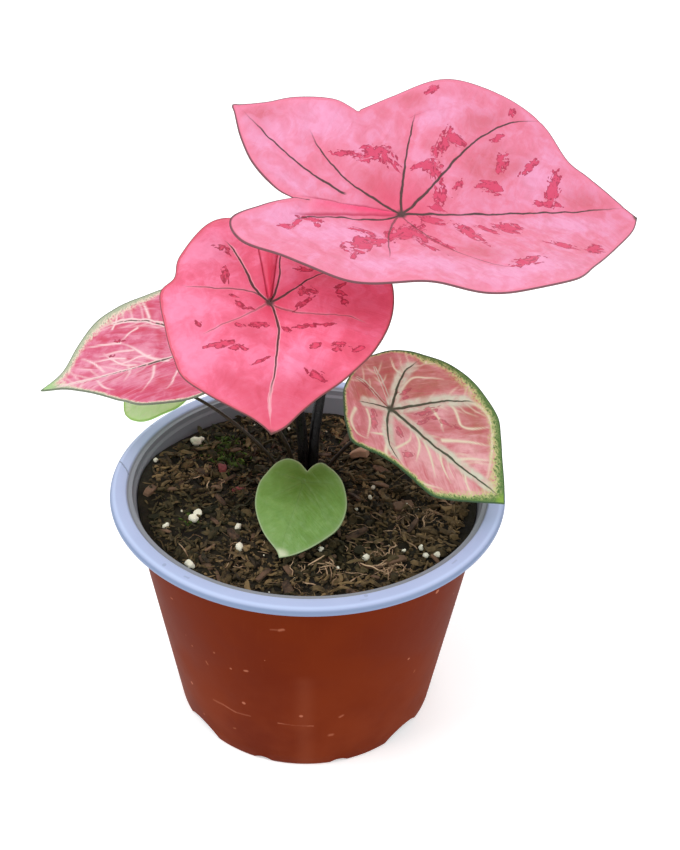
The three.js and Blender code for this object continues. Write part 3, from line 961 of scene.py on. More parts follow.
LEFT = LeafForm(
    name="left", hub=(-41.2, 14, 147.7), heading=180, droop=16, bank=-12, tip=65,
    left=((4, 55), (12, 47), (20, 42), (32, 38), (46, 37), (63, 38.5), (80, 36.5), (99, 37),
          (118, 34), (136, 31), (152, 28), (164, 24), (171, 17), (174, 10)),
    right=((-6, 57), (-18, 53), (-29, 49), (-39, 43), (-52, 37), (-65, 34.5), (-82, 32),
           (-100, 31), (-118, 30), (-136, 29), (-152, 27), (-165, 23), (-172, 17), (-176, 10)),
    sinus=(179, 8), nod=4, bow=3, vee=0.3, crease=6, curl=0, wave=0.8,
    stalk=StalkForm(2.4, ((-5.5, 3.5, 88), (-6.5, 4.5, 105), (-11.5, 6, 117), (-23, 9.5, 131))),
    veins=(Vein(11, -11, 0, 64, width=0.62, pale=True),
           Vein(-60, 48, -5, 47, width=0.55, pale=True),
           Vein(98, 10, 0, 31, width=0.5), Vein(150, -20, 0, 28, width=0.5),
           Vein(-110, 10, 0, 27, width=0.5), Vein(-152, 12, 0, 25, width=0.5)),
    branches=(Branch(((18, 12.6), (-2, 19.6), (-15, 27.3), (-19, 33.4)), 1.2),
              Branch(((-19, 33.4), (-18, 41.7), (-17, 48.6)), 0.8),
              Branch(((-44, 27.5), (-48, 31.4), (-51, 36.2)), 1.0),
              Branch(((-28, 39.9), (-35, 40.5), (-40, 43.6)), 0.8),
              Branch(((-33, 29.4), (-28, 31.4), (-21, 33.4)), 0.7),
              Branch(((16, 18.1), (42, 21.7), (53, 28.8), (54, 31.4)), 1.0),
              Branch(((66, 15.9), (73, 24.4), (72, 28.4)), 0.8),
              Branch(((-5, 19.8), (-6, 24.7), (-2, 30.2), (-4, 36.1)), 0.5),
              Branch(((-13, 26.9), (-12, 35.4), (-11, 41.1)), 0.6),
              Branch(((-6, 29.7), (-8, 36.6), (-8, 45)), 0.6),
              Branch(((1, 28.4), (14, 27.5), (23, 30.4)), 0.7),
              Branch(((8, 40.3), (19, 38), (27, 35.1)), 0.6),
              Branch(((3, 25), (0, 29.8), (-7, 35.2), (-13, 40)), 0.5),
              Branch(((1, 38), (-7, 43), (-11, 49)), 0.5),
              Branch(((2, 46), (8, 47), (12, 47)), 0.45),
              Branch(((-48, 18), (-66, 23), (-78, 29)), 0.6)),
    blotches=blotches((31.8, -12, 2.3, 0.5, 160), (34.9, -6, 1.6, 0.4, 175)),
    lights=blotches((38, 8, 10, 3, 165), (28, -4, 8, 2.5, 160), (20, 12, 6, 3, 150),
                    (42, -3, 9, 2, 170), (48, 4, 9, 2.5, 175), (30, 3, 7, 2, 165)),
    dulls=blotches((26.6, -24.3, 2.9, 1.6, 140), (19.8, -22.1, 4.2, 1.9, 95),
                   (39.6, -15.8, 2.9, 1.3, 150), (23.7, -14.7, 5.4, 1.7, 170),
                   (15.7, -9.6, 4.5, 1.5, 100), (34.9, -20.2, 2.4, 1, 135),
                   (3.3, 29.5, 6.6, 2.8, 155), (24, 22, 8, 2, 160), (12, 20, 6, 3, 120)),
    margin_shape=((-180, 0.6), (-90, 0.6), (-52, 1.3), (-30, 1.8), (-12, 1.3), (0, 1.5),
                  (8, 0.6), (40, 0.45), (90, 0.5), (180, 0.5)),
    side_veins=17, streak=14, spokes=340, rings=84)

RIGHT = LeafForm(
    name="right", hub=(29.4, -8, 137.3), heading=-20, droop=31, bank=12, tip=54,
    left=((6, 51), (17, 46.5), (28, 44.5), (38, 43), (52, 37.5), (65, 33.5), (80, 30), (97, 26),
          (111, 24), (125, 23), (137, 22), (150, 21.2), (162, 20.2), (169, 19.4)),
    right=((-3, 51), (-14, 44), (-28, 39.5), (-40, 37), (-51, 30), (-62, 25.5), (-76, 24.5),
           (-90, 27), (-101, 28.5), (-113, 24.5), (-131, 21), (-153, 19.5), (-171, 18.8),
           (-181, 18.9)),
    sinus=(173, 7), nod=3, bow=2, vee=0.25, crease=5, curl=0, wave=0.5,
    stalk=StalkForm(2.2, ((6, 1, 88), (7.2, 1.5, 103), (13, 1, 113), (23, -2, 126))),
    veins=(Vein(-4, 6, 0, 54, width=1.0), Vein(48, 17.5, -34.6, 36, width=0.8),
           Vein(103, 52, -166, 24, width=0.8),
           Vein(133, 58, -73, 19, width=0.7, pale=True, strength=0.0),
           Vein(178.7, -84.5, 214.8, 19, width=0.7, pale=True, strength=0.0),
           Vein(-154, -5, 165, 14, width=0.6), Vein(-80, 17, 78, 25, width=0.8)),
    branches=(Branch(((89, 24.4), (79, 28.8), (67, 31.8), (54, 33.2), (48, 32.2)), 1.3),
              Branch(((48, 30), (42, 36.5), (33, 40.3), (20, 41.3), (9, 42.6), (3, 43.9)), 1.5),
              Branch(((46, 24.1), (39, 25.6), (28, 27.6), (27, 31.7), (31, 38.9)), 1.1),
              Branch(((42, 15.7), (29, 18.8), (17, 21.1)), 1.0),
              Branch(((-10, 13.1), (-21, 16.9), (-40, 22.9)), 1.1),
              Branch(((-8, 16.9), (-19, 22.7), (-29, 30.2)), 1.1),
              Branch(((-5, 24), (-15, 28.1), (-19, 34.4)), 1.0),
              Branch(((-1, 35), (-8, 38), (-12, 43)), 0.8),
              Branch(((-131, 16), (-117, 20.8), (-103, 23.8), (-93, 22.4)), 1.2),
              Branch(((-129, 11.2), (-104, 14.5), (-93, 22.4)), 0.9),
              Branch(((-77, 14.1), (-94, 18.3)), 0.9),
              Branch(((-70, 16.5), (-71, 22.8), (-62, 26.5), (-49, 31.7), (-29, 35.3)), 1.4),
              Branch(((8, 22), (13, 25.9), (18, 32.7), (21, 40.6)), 1.0),
              Branch(((1, 30), (8, 34.8), (13, 41.9)), 0.9),
              Branch(((-60, 18.3), (-35, 14.3), (-16, 10.9)), 0.9),
              Branch(((98, 5.4), (92, 14.8), (78, 19.6), (68, 24.7)), 0.9),
              Branch(((104, 15), (118, 16), (124, 20)), 0.7)),
    blotches=blotches((0.6, 9.6, 2.8, 0.7, 60), (2.3, 7.7, 1.6, 0.5, 50), (11, 8, 4.7, 1, 60),
                      (19.2, 9.6, 4.5, 0.7, 20), (12, 4.2, 2.4, 0.6, 65),
                      (-2.9, -10.6, 3.9, 1.1, 115), (7.1, -7.6, 2.2, 0.9, 140),
                      (13.8, -14.5, 2.2, 0.9, 50)),
    lights=blotches((14, 12, 6, 3, 40), (20, -10, 9, 3, 150), (28, -7, 9, 3, 165),
                    (-2, -13, 4, 3, 100), (36, -6, 7, 3, 170), (10, -12, 6, 3, 140),
                    (34, 7, 7, 3, 10)),
    dulls=blotches((-8, 10, 8, 6, 120), (2, 20, 9, 6, 100), (12, 24, 7, 4, 60),
                   (-12, -2, 8, 6, 0), (30, 16, 7, 4, 40), (24, 20, 6, 3, 40),
                   (4, 14, 6, 5, 60), (-14, 8, 5, 5, 0)),
    margin_shape=((-180, 0.24), (-130, 0.26), (-95, 0.3), (-60, 0.36), (-25, 0.6), (-6, 0.8),
                  (0, 1.15), (20, 1.0), (60, 0.9), (90, 0.6), (110, 0.3), (140, 0.16),
                  (180, 0.2)),
    closed_to=19.1, side_veins=13, streak=46, ridge=0.3, spokes=340, rings=78)

YOUNG = LeafForm(
    name="young", hub=(-1.3, -15, 109), heading=-107, droop=28, bank=0, tip=30.5,
    left=((9, 29), (20, 27), (34, 25), (48, 24), (60, 22), (72, 19.5), (87, 16.5), (104, 14),
          (127, 11.5), (152, 10), (166, 7.5)),
    right=((-4, 28), (-19, 24.5), (-35, 21.5), (-52, 19), (-73, 16.5), (-92, 14), (-115, 13),
           (-132, 11.5), (-149, 8.5), (-164, 6)),
    sinus=(180, 4.5), nod=2, bow=1, vee=0.08, crease=4, curl=0, wave=0.3,
    stalk=StalkForm(2, ((-1, -5.5, 88), (-1.2, -8, 95), (-1.3, -11.5, 102))),
    veins=faint_veins((1, -2, 29), (52, -14, 21), (-50, 12, 18), (100, -8, 13), (-100, 8, 12)),
    spokes=240, rings=32)

REAR = LeafForm(
    name="rear", hub=(-55, 24, 125.2), heading=205, droop=24, bank=-8, tip=20.6,
    left=((12, 20), (28, 18.4), (48, 16), (72, 14.5), (98, 13.5), (124, 12.5), (148, 11.5),
          (164, 9)),
    right=((-12, 20.2), (-28, 19.2), (-48, 17.2), (-72, 15.5), (-98, 14.5), (-124, 13.5),
           (-148, 12), (-164, 9)),
    sinus=(180, 5), nod=2, bow=1, vee=0.1, crease=4, curl=0, wave=0.3,
    stalk=StalkForm(2, ((-9, 5, 86), (-13.2, 6, 102), (-27.8, 8, 118), (-42, 16, 123.5))),
    veins=faint_veins((1, -2, 23), (52, -10, 15), (-52, 10, 15), (110, -6, 11), (-110, 6, 11)),
    spokes=200, rings=28)


# ---------------------------------------------------------------- leaf finishes


@dataclass(frozen=True)
class LeafFinish:
    """The colours of one leaf.

    Attributes:
        base: The blade's main colour.
        light: The paler colour that it drifts to.
        deep: The stronger colour near the stalk and in the folds.
        deep_reach: How far from the stalk the deep colour shows.
        vein: The main veins' lines.
        vein_end: The colour that their lines turn to.
        turn_at: Distance from the stalk where the line has turned to it.
        halo: The soft band beside the main veins.
        halo_width: Half width of that band.
        halo_share: How strongly it shows.
        net: The side veins.
        net_share: How strongly they show.
        margin: The band along the edge.
        margin_width: Its width.
        border: The speckled inner side of the margin.
        edge: The thin line at the very edge.
        blotch: The patches.
        blotch_dark_and_fold_shade: The darker parts of the patches, and the painted shade on the
            fold's flanks.
        under: The underside, and the colour of the painted glow.
        dull: The colour of the duller patches.
        tip: The colour at the tip.
        tip_reach: How far from the tip it shows.
        fold: The vivid crimson colour along the fold between the lobes, painted shade where they
            meet.
        speckle: How speckled the margin is.
        streaks: How strongly fine streaks of the deep and the paler colour show.
        dashes: How broken the main veins' lines are.
        rim_share: How strongly the pale lines beside a main vein show.
        rim_width: Half width of those pale lines.
        painted_glow: Painted light: how strongly the blade glows in its underside's colour,
            standing in for light that shines through it.
        blotch_share: How strongly the patches show.
        blotch_rim: How wide their darker outline is.
        roughness: Roughness of the upper face.
        shine: How strongly the upper face reflects.
        mottling: How fine its broad and its fine variation are.
        wash: How fine its washes of the paler and the duller colour are.
        wear: How fine the worn parts of the bands beside the veins are.
        ragged: How fine the margin's ragged edge is.
        crumbs: How fine the margin's speckles are.
        knot: Radii between which the dark knot over the stalk fades.
        edge_reach: Distances from the edge between which its line fades.
    """

    base: Colour
    light: Colour
    deep: Colour
    deep_reach: float
    vein: Colour
    vein_end: Colour
    turn_at: float
    halo: Colour
    halo_width: float
    halo_share: float
    net: Colour
    net_share: float
    margin: Colour
    margin_width: float
    border: Colour
    edge: Colour
    blotch: Colour
    blotch_dark_and_fold_shade: Colour
    under: Colour
    dull: Colour
    tip: Colour
    tip_reach: float
    fold: Colour
    speckle: float = 0.0
    streaks: float = 0.3
    dashes: float = 0.0
    rim_share: float = 0.9
    rim_width: float = 0.75
    painted_glow: float = 0.0
    blotch_share: float = 0.9
    blotch_rim: float = 0.28
    roughness: float = 0.52
    shine: float = 0.32
    mottling: Pair = (0.055, 0.42)
    wash: float = 0.14
    wear: float = 0.3
    ragged: float = 0.35
    crumbs: float = 1.1
    knot: Pair = (1.0, 2.7)
    edge_reach: Pair = (0.22, 0.62)

    def upper(self, form: LeafForm, effects: Effects) -> bpy.types.Material:
        """Builds the upper face's material.

        Args:
            form: The leaf.
            effects: The shared effects.

        Returns:
            The material.
        """
        material, tree, shader = new_finish(f"{form.name}_upper")
        square = tree.add("ShaderNodeUVMap", uv_map="Leaf").outputs[0]
        plane = effects.leaf_plane.place(tree, Square=square)
        place, radius = plane["Place"], plane["Radius"]
        lines, halos, pales = self._vein_masks(tree, form, effects, plane)
        broad, fine = self.mottling
        mottle = effects.mottle.place(tree, Place=place, Broad=broad, Fine=fine)
        streak = effects.streak.place(tree, Place=place, Angle=form.streak)["Tone"]
        wash = tree.noise(place, self.wash, 4.0, 0.62, 0.8)
        light = tree.math("ADD", tree.attribute("light"), tree.ramp(wash, 0.46, 0.64, 0.0, 0.5))
        light = tree.math("MULTIPLY_ADD", mottle["Broad"], 0.3, light)
        body = tree.mix(tree.math("MULTIPLY", light, 0.95, clamp=True), self.base, self.light)
        dull = tree.math("ADD", tree.attribute("dull"), tree.ramp(wash, 0.34, 0.5, 0.4, 0.0))
        body = tree.mix(tree.math("MULTIPLY", dull, 0.7, clamp=True), body, self.dull)
        body = tree.mix(tree.ramp(streak, 0.5, 0.75, 0.0, self.streaks), body, self.deep)
        body = tree.mix(tree.ramp(streak, 0.25, 0.5, self.streaks, 0.0), body, self.light)
        speckle = tree.math("MULTIPLY", mottle["Fine"], 0.14)
        body = tree.mix(speckle, body, self.deep)
        near = tree.ramp(radius, self.deep_reach * 0.1, self.deep_reach, 0.8, 0.0)
        body = tree.mix(near, body, self.deep)
        net = tree.math("MULTIPLY", tree.attribute("net"), self.net_share, clamp=True)
        body = tree.mix(net, body, self.net)
        worn = tree.ramp(tree.noise(place, self.wear, 3.0, 0.6), 0.35, 0.62, 0.55, 1.0)
        halo = tree.math("MULTIPLY", tree.math("MULTIPLY", halos, self.halo_share), worn,
                         clamp=True)
        body = tree.mix(halo, body, self.halo)
        grain = tree.add("ShaderNodeAttribute", attribute_name="grain").outputs["Vector"]
        patch = effects.blotch.place(tree, Field=tree.attribute("blotch"), Place=grain,
                                     Fine_Place=place, Rim=self.blotch_rim)
        inner = tree.mix(patch["Tone"], self.blotch_dark_and_fold_shade, self.blotch)
        body = tree.mix(tree.math("MULTIPLY", patch["Mask"], self.blotch_share), body, inner)
        # Painted shade along the fold where the lobes meet.
        body = self._folded(tree, body)
        body = self._margin(tree, body, place)
        body = tree.mix(tree.math("MULTIPLY", pales, self.rim_share), body, self.halo)
        strand = tree.mix(tree.ramp(radius, self.turn_at * 0.8, self.turn_at * 1.1),
                          self.vein, self.vein_end)
        if self.dashes:
            gaps = tree.ramp(tree.noise(place, 0.75, 1.0, 0.5), 0.42, 0.52, 1 - self.dashes, 1.0)
            lines = tree.math("MULTIPLY", lines, gaps)
        body = tree.mix(tree.math("MULTIPLY", lines, 0.93), body, strand)
        rough = tree.ramp(mottle["Fine"], 0.0, 1.0, self.roughness - 0.06, self.roughness + 0.08)
        height = tree.math("MULTIPLY_ADD", lines, -0.7, mottle["Height"])
        height = tree.math("MULTIPLY_ADD", streak, 1.1, height)
        dress(tree, shader, body, rough, height, 0.4, 0.6, self.shine)
        # Painted light: a faint glow in the underside's colour, in place of light shining through
        # the blade.
        tree.put(shader.inputs["Emission Color"], self.under)
        tree.put(shader.inputs["Emission Strength"], self.painted_glow)
        return material

    def _folded(self, tree: Tree, body: object) -> object:
        """Lays the painted shade of the fold between the lobes over a colour: a vivid crimson band
        along it and dark flanks beside it.

        Args:
            tree: The material's tree.
            body: The colour.

        Returns:
            The toned colour.
        """
        body = tree.mix(tree.math("MULTIPLY", tree.attribute("flank"), 0.8, clamp=True),
                        body, self.blotch_dark_and_fold_shade)
        return tree.mix(tree.math("MULTIPLY", tree.attribute("fold"), 0.95, clamp=True),
                        body, self.fold)

    def _vein_masks(self, tree: Tree, form: LeafForm, effects: Effects,
                    plane: bpy.types.bpy_prop_collection) -> tuple[object, object, object]:
        """Adds up the lines and soft bands of the main veins.

        Args:
            tree: The material's tree.
            form: The leaf.
            effects: The shared effects.
            plane: The outputs of the leaf plane effect.

        Returns:
            The masks of the dark lines, of the bands and of the crisp pale lines.
        """
        lines: object = 0.0
        halos: object = 0.0
        pales: object = 0.0
        for vein in form.veins:
            made = effects.vein.place(
                tree, Radius=plane["Radius"], Bearing=plane["Bearing"], Heading=vein.heading,
                Bend=vein.bend, Curl=vein.curl, Length=form.tip, Start=vein.start, End=vein.end,
                Width=vein.width, Band=self.rim_width if vein.pale else self.halo_width)
            line = tree.math("MULTIPLY", made["Line"], vein.strength)
            lines = tree.math("MAXIMUM", line, lines)
            if vein.pale:
                rim = tree.math("SUBTRACT", tree.ramp(made["Halo"], 0.35, 0.65),
                                made["Line"], clamp=True)
                pales = tree.math("MAXIMUM", rim, pales)
            else:
                halos = tree.math("MAXIMUM", tree.ramp(made["Halo"], 0.12, 0.7), halos)
        near, far = (radius * form.scale() for radius in self.knot)
        knot = tree.ramp(plane["Radius"], near, far, 1.0, 0.0)
        return tree.math("MAXIMUM", lines, knot), halos, pales

    def _margin(self, tree: Tree, body: object, place: object) -> object:
        """Lays the margin's band, its speckled border and the edge line over a colour.

        Args:
            tree: The material's tree.
            body: The colour.
            place: The place on the blade.

        Returns:
            The toned colour.
        """
        margin = tree.attribute("margin")
        ragged = tree.math("SUBTRACT", tree.noise(place, self.ragged, 3.0, 0.65), 0.5)
        reach = tree.math("MULTIPLY_ADD", ragged, self.margin_width * 1.3, margin)
        crumbs = tree.ramp(tree.noise(place, self.crumbs, 2.0, 0.7), 0.38, 0.56)
        if self.speckle:
            wide = tree.ramp(reach, self.margin_width * 0.8, self.margin_width * 1.7, 1.0, 0.0)
            body = tree.mix(tree.math("MULTIPLY", wide, crumbs), body, self.border)
        else:
            wide = tree.ramp(reach, self.margin_width, self.margin_width * 2.6, 0.35, 0.0)
            body = tree.mix(wide, body, self.border)
        inward = tree.ramp(reach, self.margin_width * 0.25, self.margin_width * 0.8,
                           self.speckle * 0.25, min(1.0, self.speckle * 1.7))
        tone = tree.mix(tree.math("MULTIPLY", crumbs, inward), self.margin, self.border)
        band = tree.ramp(reach, self.margin_width * 0.7, self.margin_width, 1.0, 0.0)
        body = tree.mix(band, body, tone)
        body = tree.mix(tree.ramp(tree.attribute("tip_away"), self.tip_reach * 0.4,
                                  self.tip_reach, 0.9, 0.0), body, self.tip)
        line = tree.ramp(tree.attribute("edge"), *self.edge_reach, 0.85, 0.0)
        return tree.mix(line, body, self.edge)

    def lower(self, form: LeafForm, effects: Effects) -> bpy.types.Material:
        """Builds the underside's material: paler, with its veins standing out.

        Args:
            form: The leaf.
            effects: The shared effects.

        Returns:
            The material.
        """
        material, tree, shader = new_finish(f"{form.name}_under")
        square = tree.add("ShaderNodeUVMap", uv_map="Leaf").outputs[0]
        plane = effects.leaf_plane.place(tree, Square=square)
        lines, halos, _ = self._vein_masks(tree, form, effects, plane)
        mottle = effects.mottle.place(tree, Place=plane["Place"], Broad=0.06, Fine=0.5)
        body = tree.mix(tree.math("MULTIPLY", mottle["Broad"], 0.35), self.under, self.base)
        body = tree.mix(tree.math("MULTIPLY", halos, 0.35), body, self.halo)
        body = tree.mix(tree.math("MULTIPLY", tree.attribute("net"), 0.4, clamp=True),
                        body, self.net)
        body = tree.mix(tree.math("MULTIPLY", lines, 0.6), body, self.vein)
        edge = tree.attribute("edge")
        body = tree.mix(tree.ramp(edge, 0.4, 1.0, 0.7, 0.0), body, self.edge)
        rough = tree.ramp(mottle["Fine"], 0.0, 1.0, 0.6, 0.75)
        dress(tree, shader, body, rough, mottle["Height"], 0.3, 0.5)
        return material


PINK_TOP = LeafFinish(
    base=rgb(229, 127, 154), light=rgb(236, 159, 196), deep=rgb(222, 82, 114), deep_reach=24,
    vein=rgb(58, 56, 50), vein_end=rgb(120, 84, 84), turn_at=78, halo=rgb(232, 110, 138),
    halo_width=2.0, halo_share=0.3, net=rgb(222, 108, 138), net_share=0.3,
    margin=rgb(232, 128, 156), margin_width=1.3, border=rgb(238, 138, 168),
    edge=rgb(66, 54, 50), blotch=rgb(214, 66, 104), blotch_dark_and_fold_shade=rgb(168, 36, 72),
    under=rgb(222, 150, 168), dull=rgb(208, 104, 122), tip=rgb(84, 80, 66), tip_reach=2.4,
    fold=rgb(240, 76, 122), streaks=0.12)

HOT_PINK = LeafFinish(
    base=rgb(235, 100, 133), light=rgb(246, 140, 176), deep=rgb(212, 60, 92), deep_reach=12,
    vein=rgb(62, 50, 46), vein_end=rgb(240, 180, 188), turn_at=34, halo=rgb(242, 176, 188),
    halo_width=0.6, halo_share=0.26, net=rgb(208, 74, 102), net_share=0.3,
    margin=rgb(220, 92, 116), margin_width=1.1, border=rgb(226, 104, 126),
    edge=rgb(82, 60, 54), blotch=rgb(216, 66, 100), blotch_dark_and_fold_shade=rgb(152, 26, 56),
    under=rgb(216, 120, 140), dull=rgb(212, 80, 106), tip=rgb(150, 74, 80), tip_reach=2.2,
    fold=rgb(226, 64, 98), streaks=0.1, rim_share=0.6, blotch_rim=0.55)

CREAM_NETTED = LeafFinish(
    base=rgb(214, 92, 128), light=rgb(235, 158, 183), deep=rgb(202, 58, 90), deep_reach=12,
    vein=rgb(84, 84, 72), vein_end=rgb(244, 206, 200), turn_at=42, halo=rgb(244, 218, 216),
    halo_width=0.8, halo_share=0.8, net=rgb(250, 218, 220), net_share=1.1,
    margin=rgb(166, 180, 150), margin_width=2.0, border=rgb(232, 216, 194),
    edge=rgb(88, 98, 80), blotch=rgb(196, 48, 84), blotch_dark_and_fold_shade=rgb(140, 30, 56),
    under=rgb(196, 150, 140), dull=rgb(206, 54, 84), tip=rgb(166, 204, 138), tip_reach=9.0,
    fold=rgb(220, 90, 120), speckle=0.55, streaks=0.85, dashes=0.85, rim_width=1.05)

GREEN_EDGED = LeafFinish(
    base=rgb(202, 122, 126), light=rgb(228, 176, 178), deep=rgb(190, 82, 94), deep_reach=5,
    vein=rgb(46, 58, 32), vein_end=rgb(58, 80, 40), turn_at=48, halo=rgb(206, 210, 188),
    halo_width=2.5, halo_share=1.0, net=rgb(228, 220, 192), net_share=1.25,
    margin=rgb(74, 116, 50), margin_width=3.9, border=rgb(198, 204, 138),
    edge=rgb(48, 78, 50), blotch=rgb(206, 82, 106), blotch_dark_and_fold_shade=rgb(158, 54, 74),
    under=rgb(150, 150, 112), dull=rgb(176, 112, 92), tip=rgb(132, 172, 66), tip_reach=5.2,
    fold=rgb(176, 104, 92), speckle=0.5, streaks=0.6, blotch_share=0.6, blotch_rim=0.5)

PLAIN_GREEN = LeafFinish(
    base=rgb(102, 147, 64), light=rgb(124, 164, 88), deep=rgb(72, 108, 18), deep_reach=15,
    vein=rgb(84, 118, 50), vein_end=rgb(112, 148, 80), turn_at=9, halo=rgb(112, 148, 80),
    halo_width=1.2, halo_share=0.2, net=rgb(124, 160, 92), net_share=0.3,
    margin=rgb(122, 156, 92), margin_width=0.8, border=rgb(128, 162, 98),
    edge=rgb(150, 176, 128), blotch=rgb(90, 120, 60), blotch_dark_and_fold_shade=rgb(80, 110, 50),
    under=rgb(140, 166, 110), dull=rgb(88, 124, 42), tip=rgb(200, 212, 176), tip_reach=4.6,
    fold=rgb(84, 116, 40), streaks=0.12, roughness=0.45)

# The rear leaf's blade has a faint painted glow.
PALE_GREEN = LeafFinish(
    base=rgb(214, 252, 194), light=rgb(240, 255, 230), deep=rgb(160, 214, 120), deep_reach=6,
    vein=rgb(150, 190, 110), vein_end=rgb(180, 214, 140), turn_at=16, halo=rgb(206, 232, 180),
    halo_width=1.2, halo_share=0.4, net=rgb(180, 226, 140), net_share=0.4,
    margin=rgb(190, 232, 150), margin_width=1.0, border=rgb(200, 240, 160),
    edge=rgb(150, 196, 104), blotch=rgb(140, 180, 100), blotch_dark_and_fold_shade=rgb(120, 160, 84),
    under=rgb(128, 206, 96), dull=rgb(192, 230, 156), tip=rgb(200, 240, 160), tip_reach=2.0,
    fold=rgb(170, 210, 130), streaks=0.1, painted_glow=0.2)


# ---------------------------------------------------------------- leaves


def span(start: np.ndarray, end: np.ndarray, lead: np.ndarray, trail: np.ndarray,
         steps: np.ndarray) -> np.ndarray:
    """A smooth curve between two points.

    Args:
        start: The first point.
        end: The second point.
        lead: How the curve sets out.
        trail: How it arrives.
        steps: Shares of the way, one row each.

    Returns:
        The curve's points at those shares.
    """
    return ((2 * start - 2 * end + lead + trail) * steps ** 3
            + (3 * end - 3 * start - 2 * lead - trail) * steps ** 2
            + lead * steps + start)


def spline(points: np.ndarray, spans: int = 16) -> np.ndarray:
    """A Catmull-Rom curve through points.

    Args:
        points: The points, one row each.
        spans: Steps between two points.

    Returns:
        Points along the curve.
    """
    padded = np.vstack([points[:1], points, points[-1:]])
    steps = np.linspace(0, 1, spans, endpoint=False)[:, None]
    parts = []
    for first, start, end, last in zip(padded, padded[1:], padded[2:], padded[3:]):
        parts.append(span(start, end, (end - first) / 2, (last - start) / 2, steps))
    return np.vstack([*parts, points[-1:]])


def even(points: np.ndarray, count: int) -> np.ndarray:
    """Points spread evenly along a line.

    Args:
        points: The line's own points.
        count: How many steps to make.

    Returns:
        The points, one more than the steps.
    """
    walked = np.concatenate([[0], np.cumsum(np.linalg.norm(np.diff(points, axis=0), axis=1))])
    at = np.linspace(0, walked[-1], count + 1)
    return np.stack([np.interp(at, walked, points[:, axis]) for axis in range(points.shape[1])], 1)


def from_polar(pairs: Sequence[Pair]) -> np.ndarray:
    """Plane points from bearings in degrees and distances.

    Args:
        pairs: The bearings and distances.

    Returns:
        The points, one row each.
    """
    table = np.array(pairs, float)
    turn = np.radians(table[:, 0])
    return np.stack([table[:, 1] * np.cos(turn), table[:, 1] * np.sin(turn)], 1)


def distance_to(line: np.ndarray, x: np.ndarray, y: np.ndarray) -> np.ndarray:
    """Distance of plane points to a line of straight spans.

    Args:
        line: The line's points.
        x: The points' first coordinates.
        y: Their second coordinates.

    Returns:
        One distance for each point.
    """
    nearest = np.full(x.shape, 1e9)
    for (ax, ay), (bx, by) in zip(line, line[1:]):
        dx, dy = bx - ax, by - ay
        share = ((x - ax) * dx + (y - ay) * dy) / max(dx * dx + dy * dy, 1e-9)
        share = np.clip(share, 0, 1)
        nearest = np.minimum(nearest, np.hypot(x - ax - share * dx, y - ay - share * dy))
    return nearest


@dataclass(frozen=True)
class SideRows:
    """How the faint side veins beside a main vein are drawn.

    Attributes:
        first: Where the first leaves, against the midrib's length.
        jitter: How much further out it may leave.
        last: Where the last leaves, against the main vein's end.
        longest: Their greatest length against the midrib's.
        grown: Their length against the distance from the stalk.
        lengths: How much that length varies.
        left_out: Share of them that is left out.
        lean: Degrees at which their first half leaves.
        bent: Degrees at which their second half does.
        widths: Their widths, for one vein on the midrib.
        spacing: How much the gaps between them vary.
    """

    first: float = 0.16
    jitter: float = 2.0
    last: float = 0.92
    longest: float = 0.26
    grown: float = 0.42
    lengths: Pair = (0.75, 1.1)
    left_out: float = 0.25
    lean: Pair = (38.0, 60.0)
    bent: Pair = (26.0, 36.0)
    widths: Pair = (1.6, 4.4)
    spacing: Pair = (0.55, 1.5)


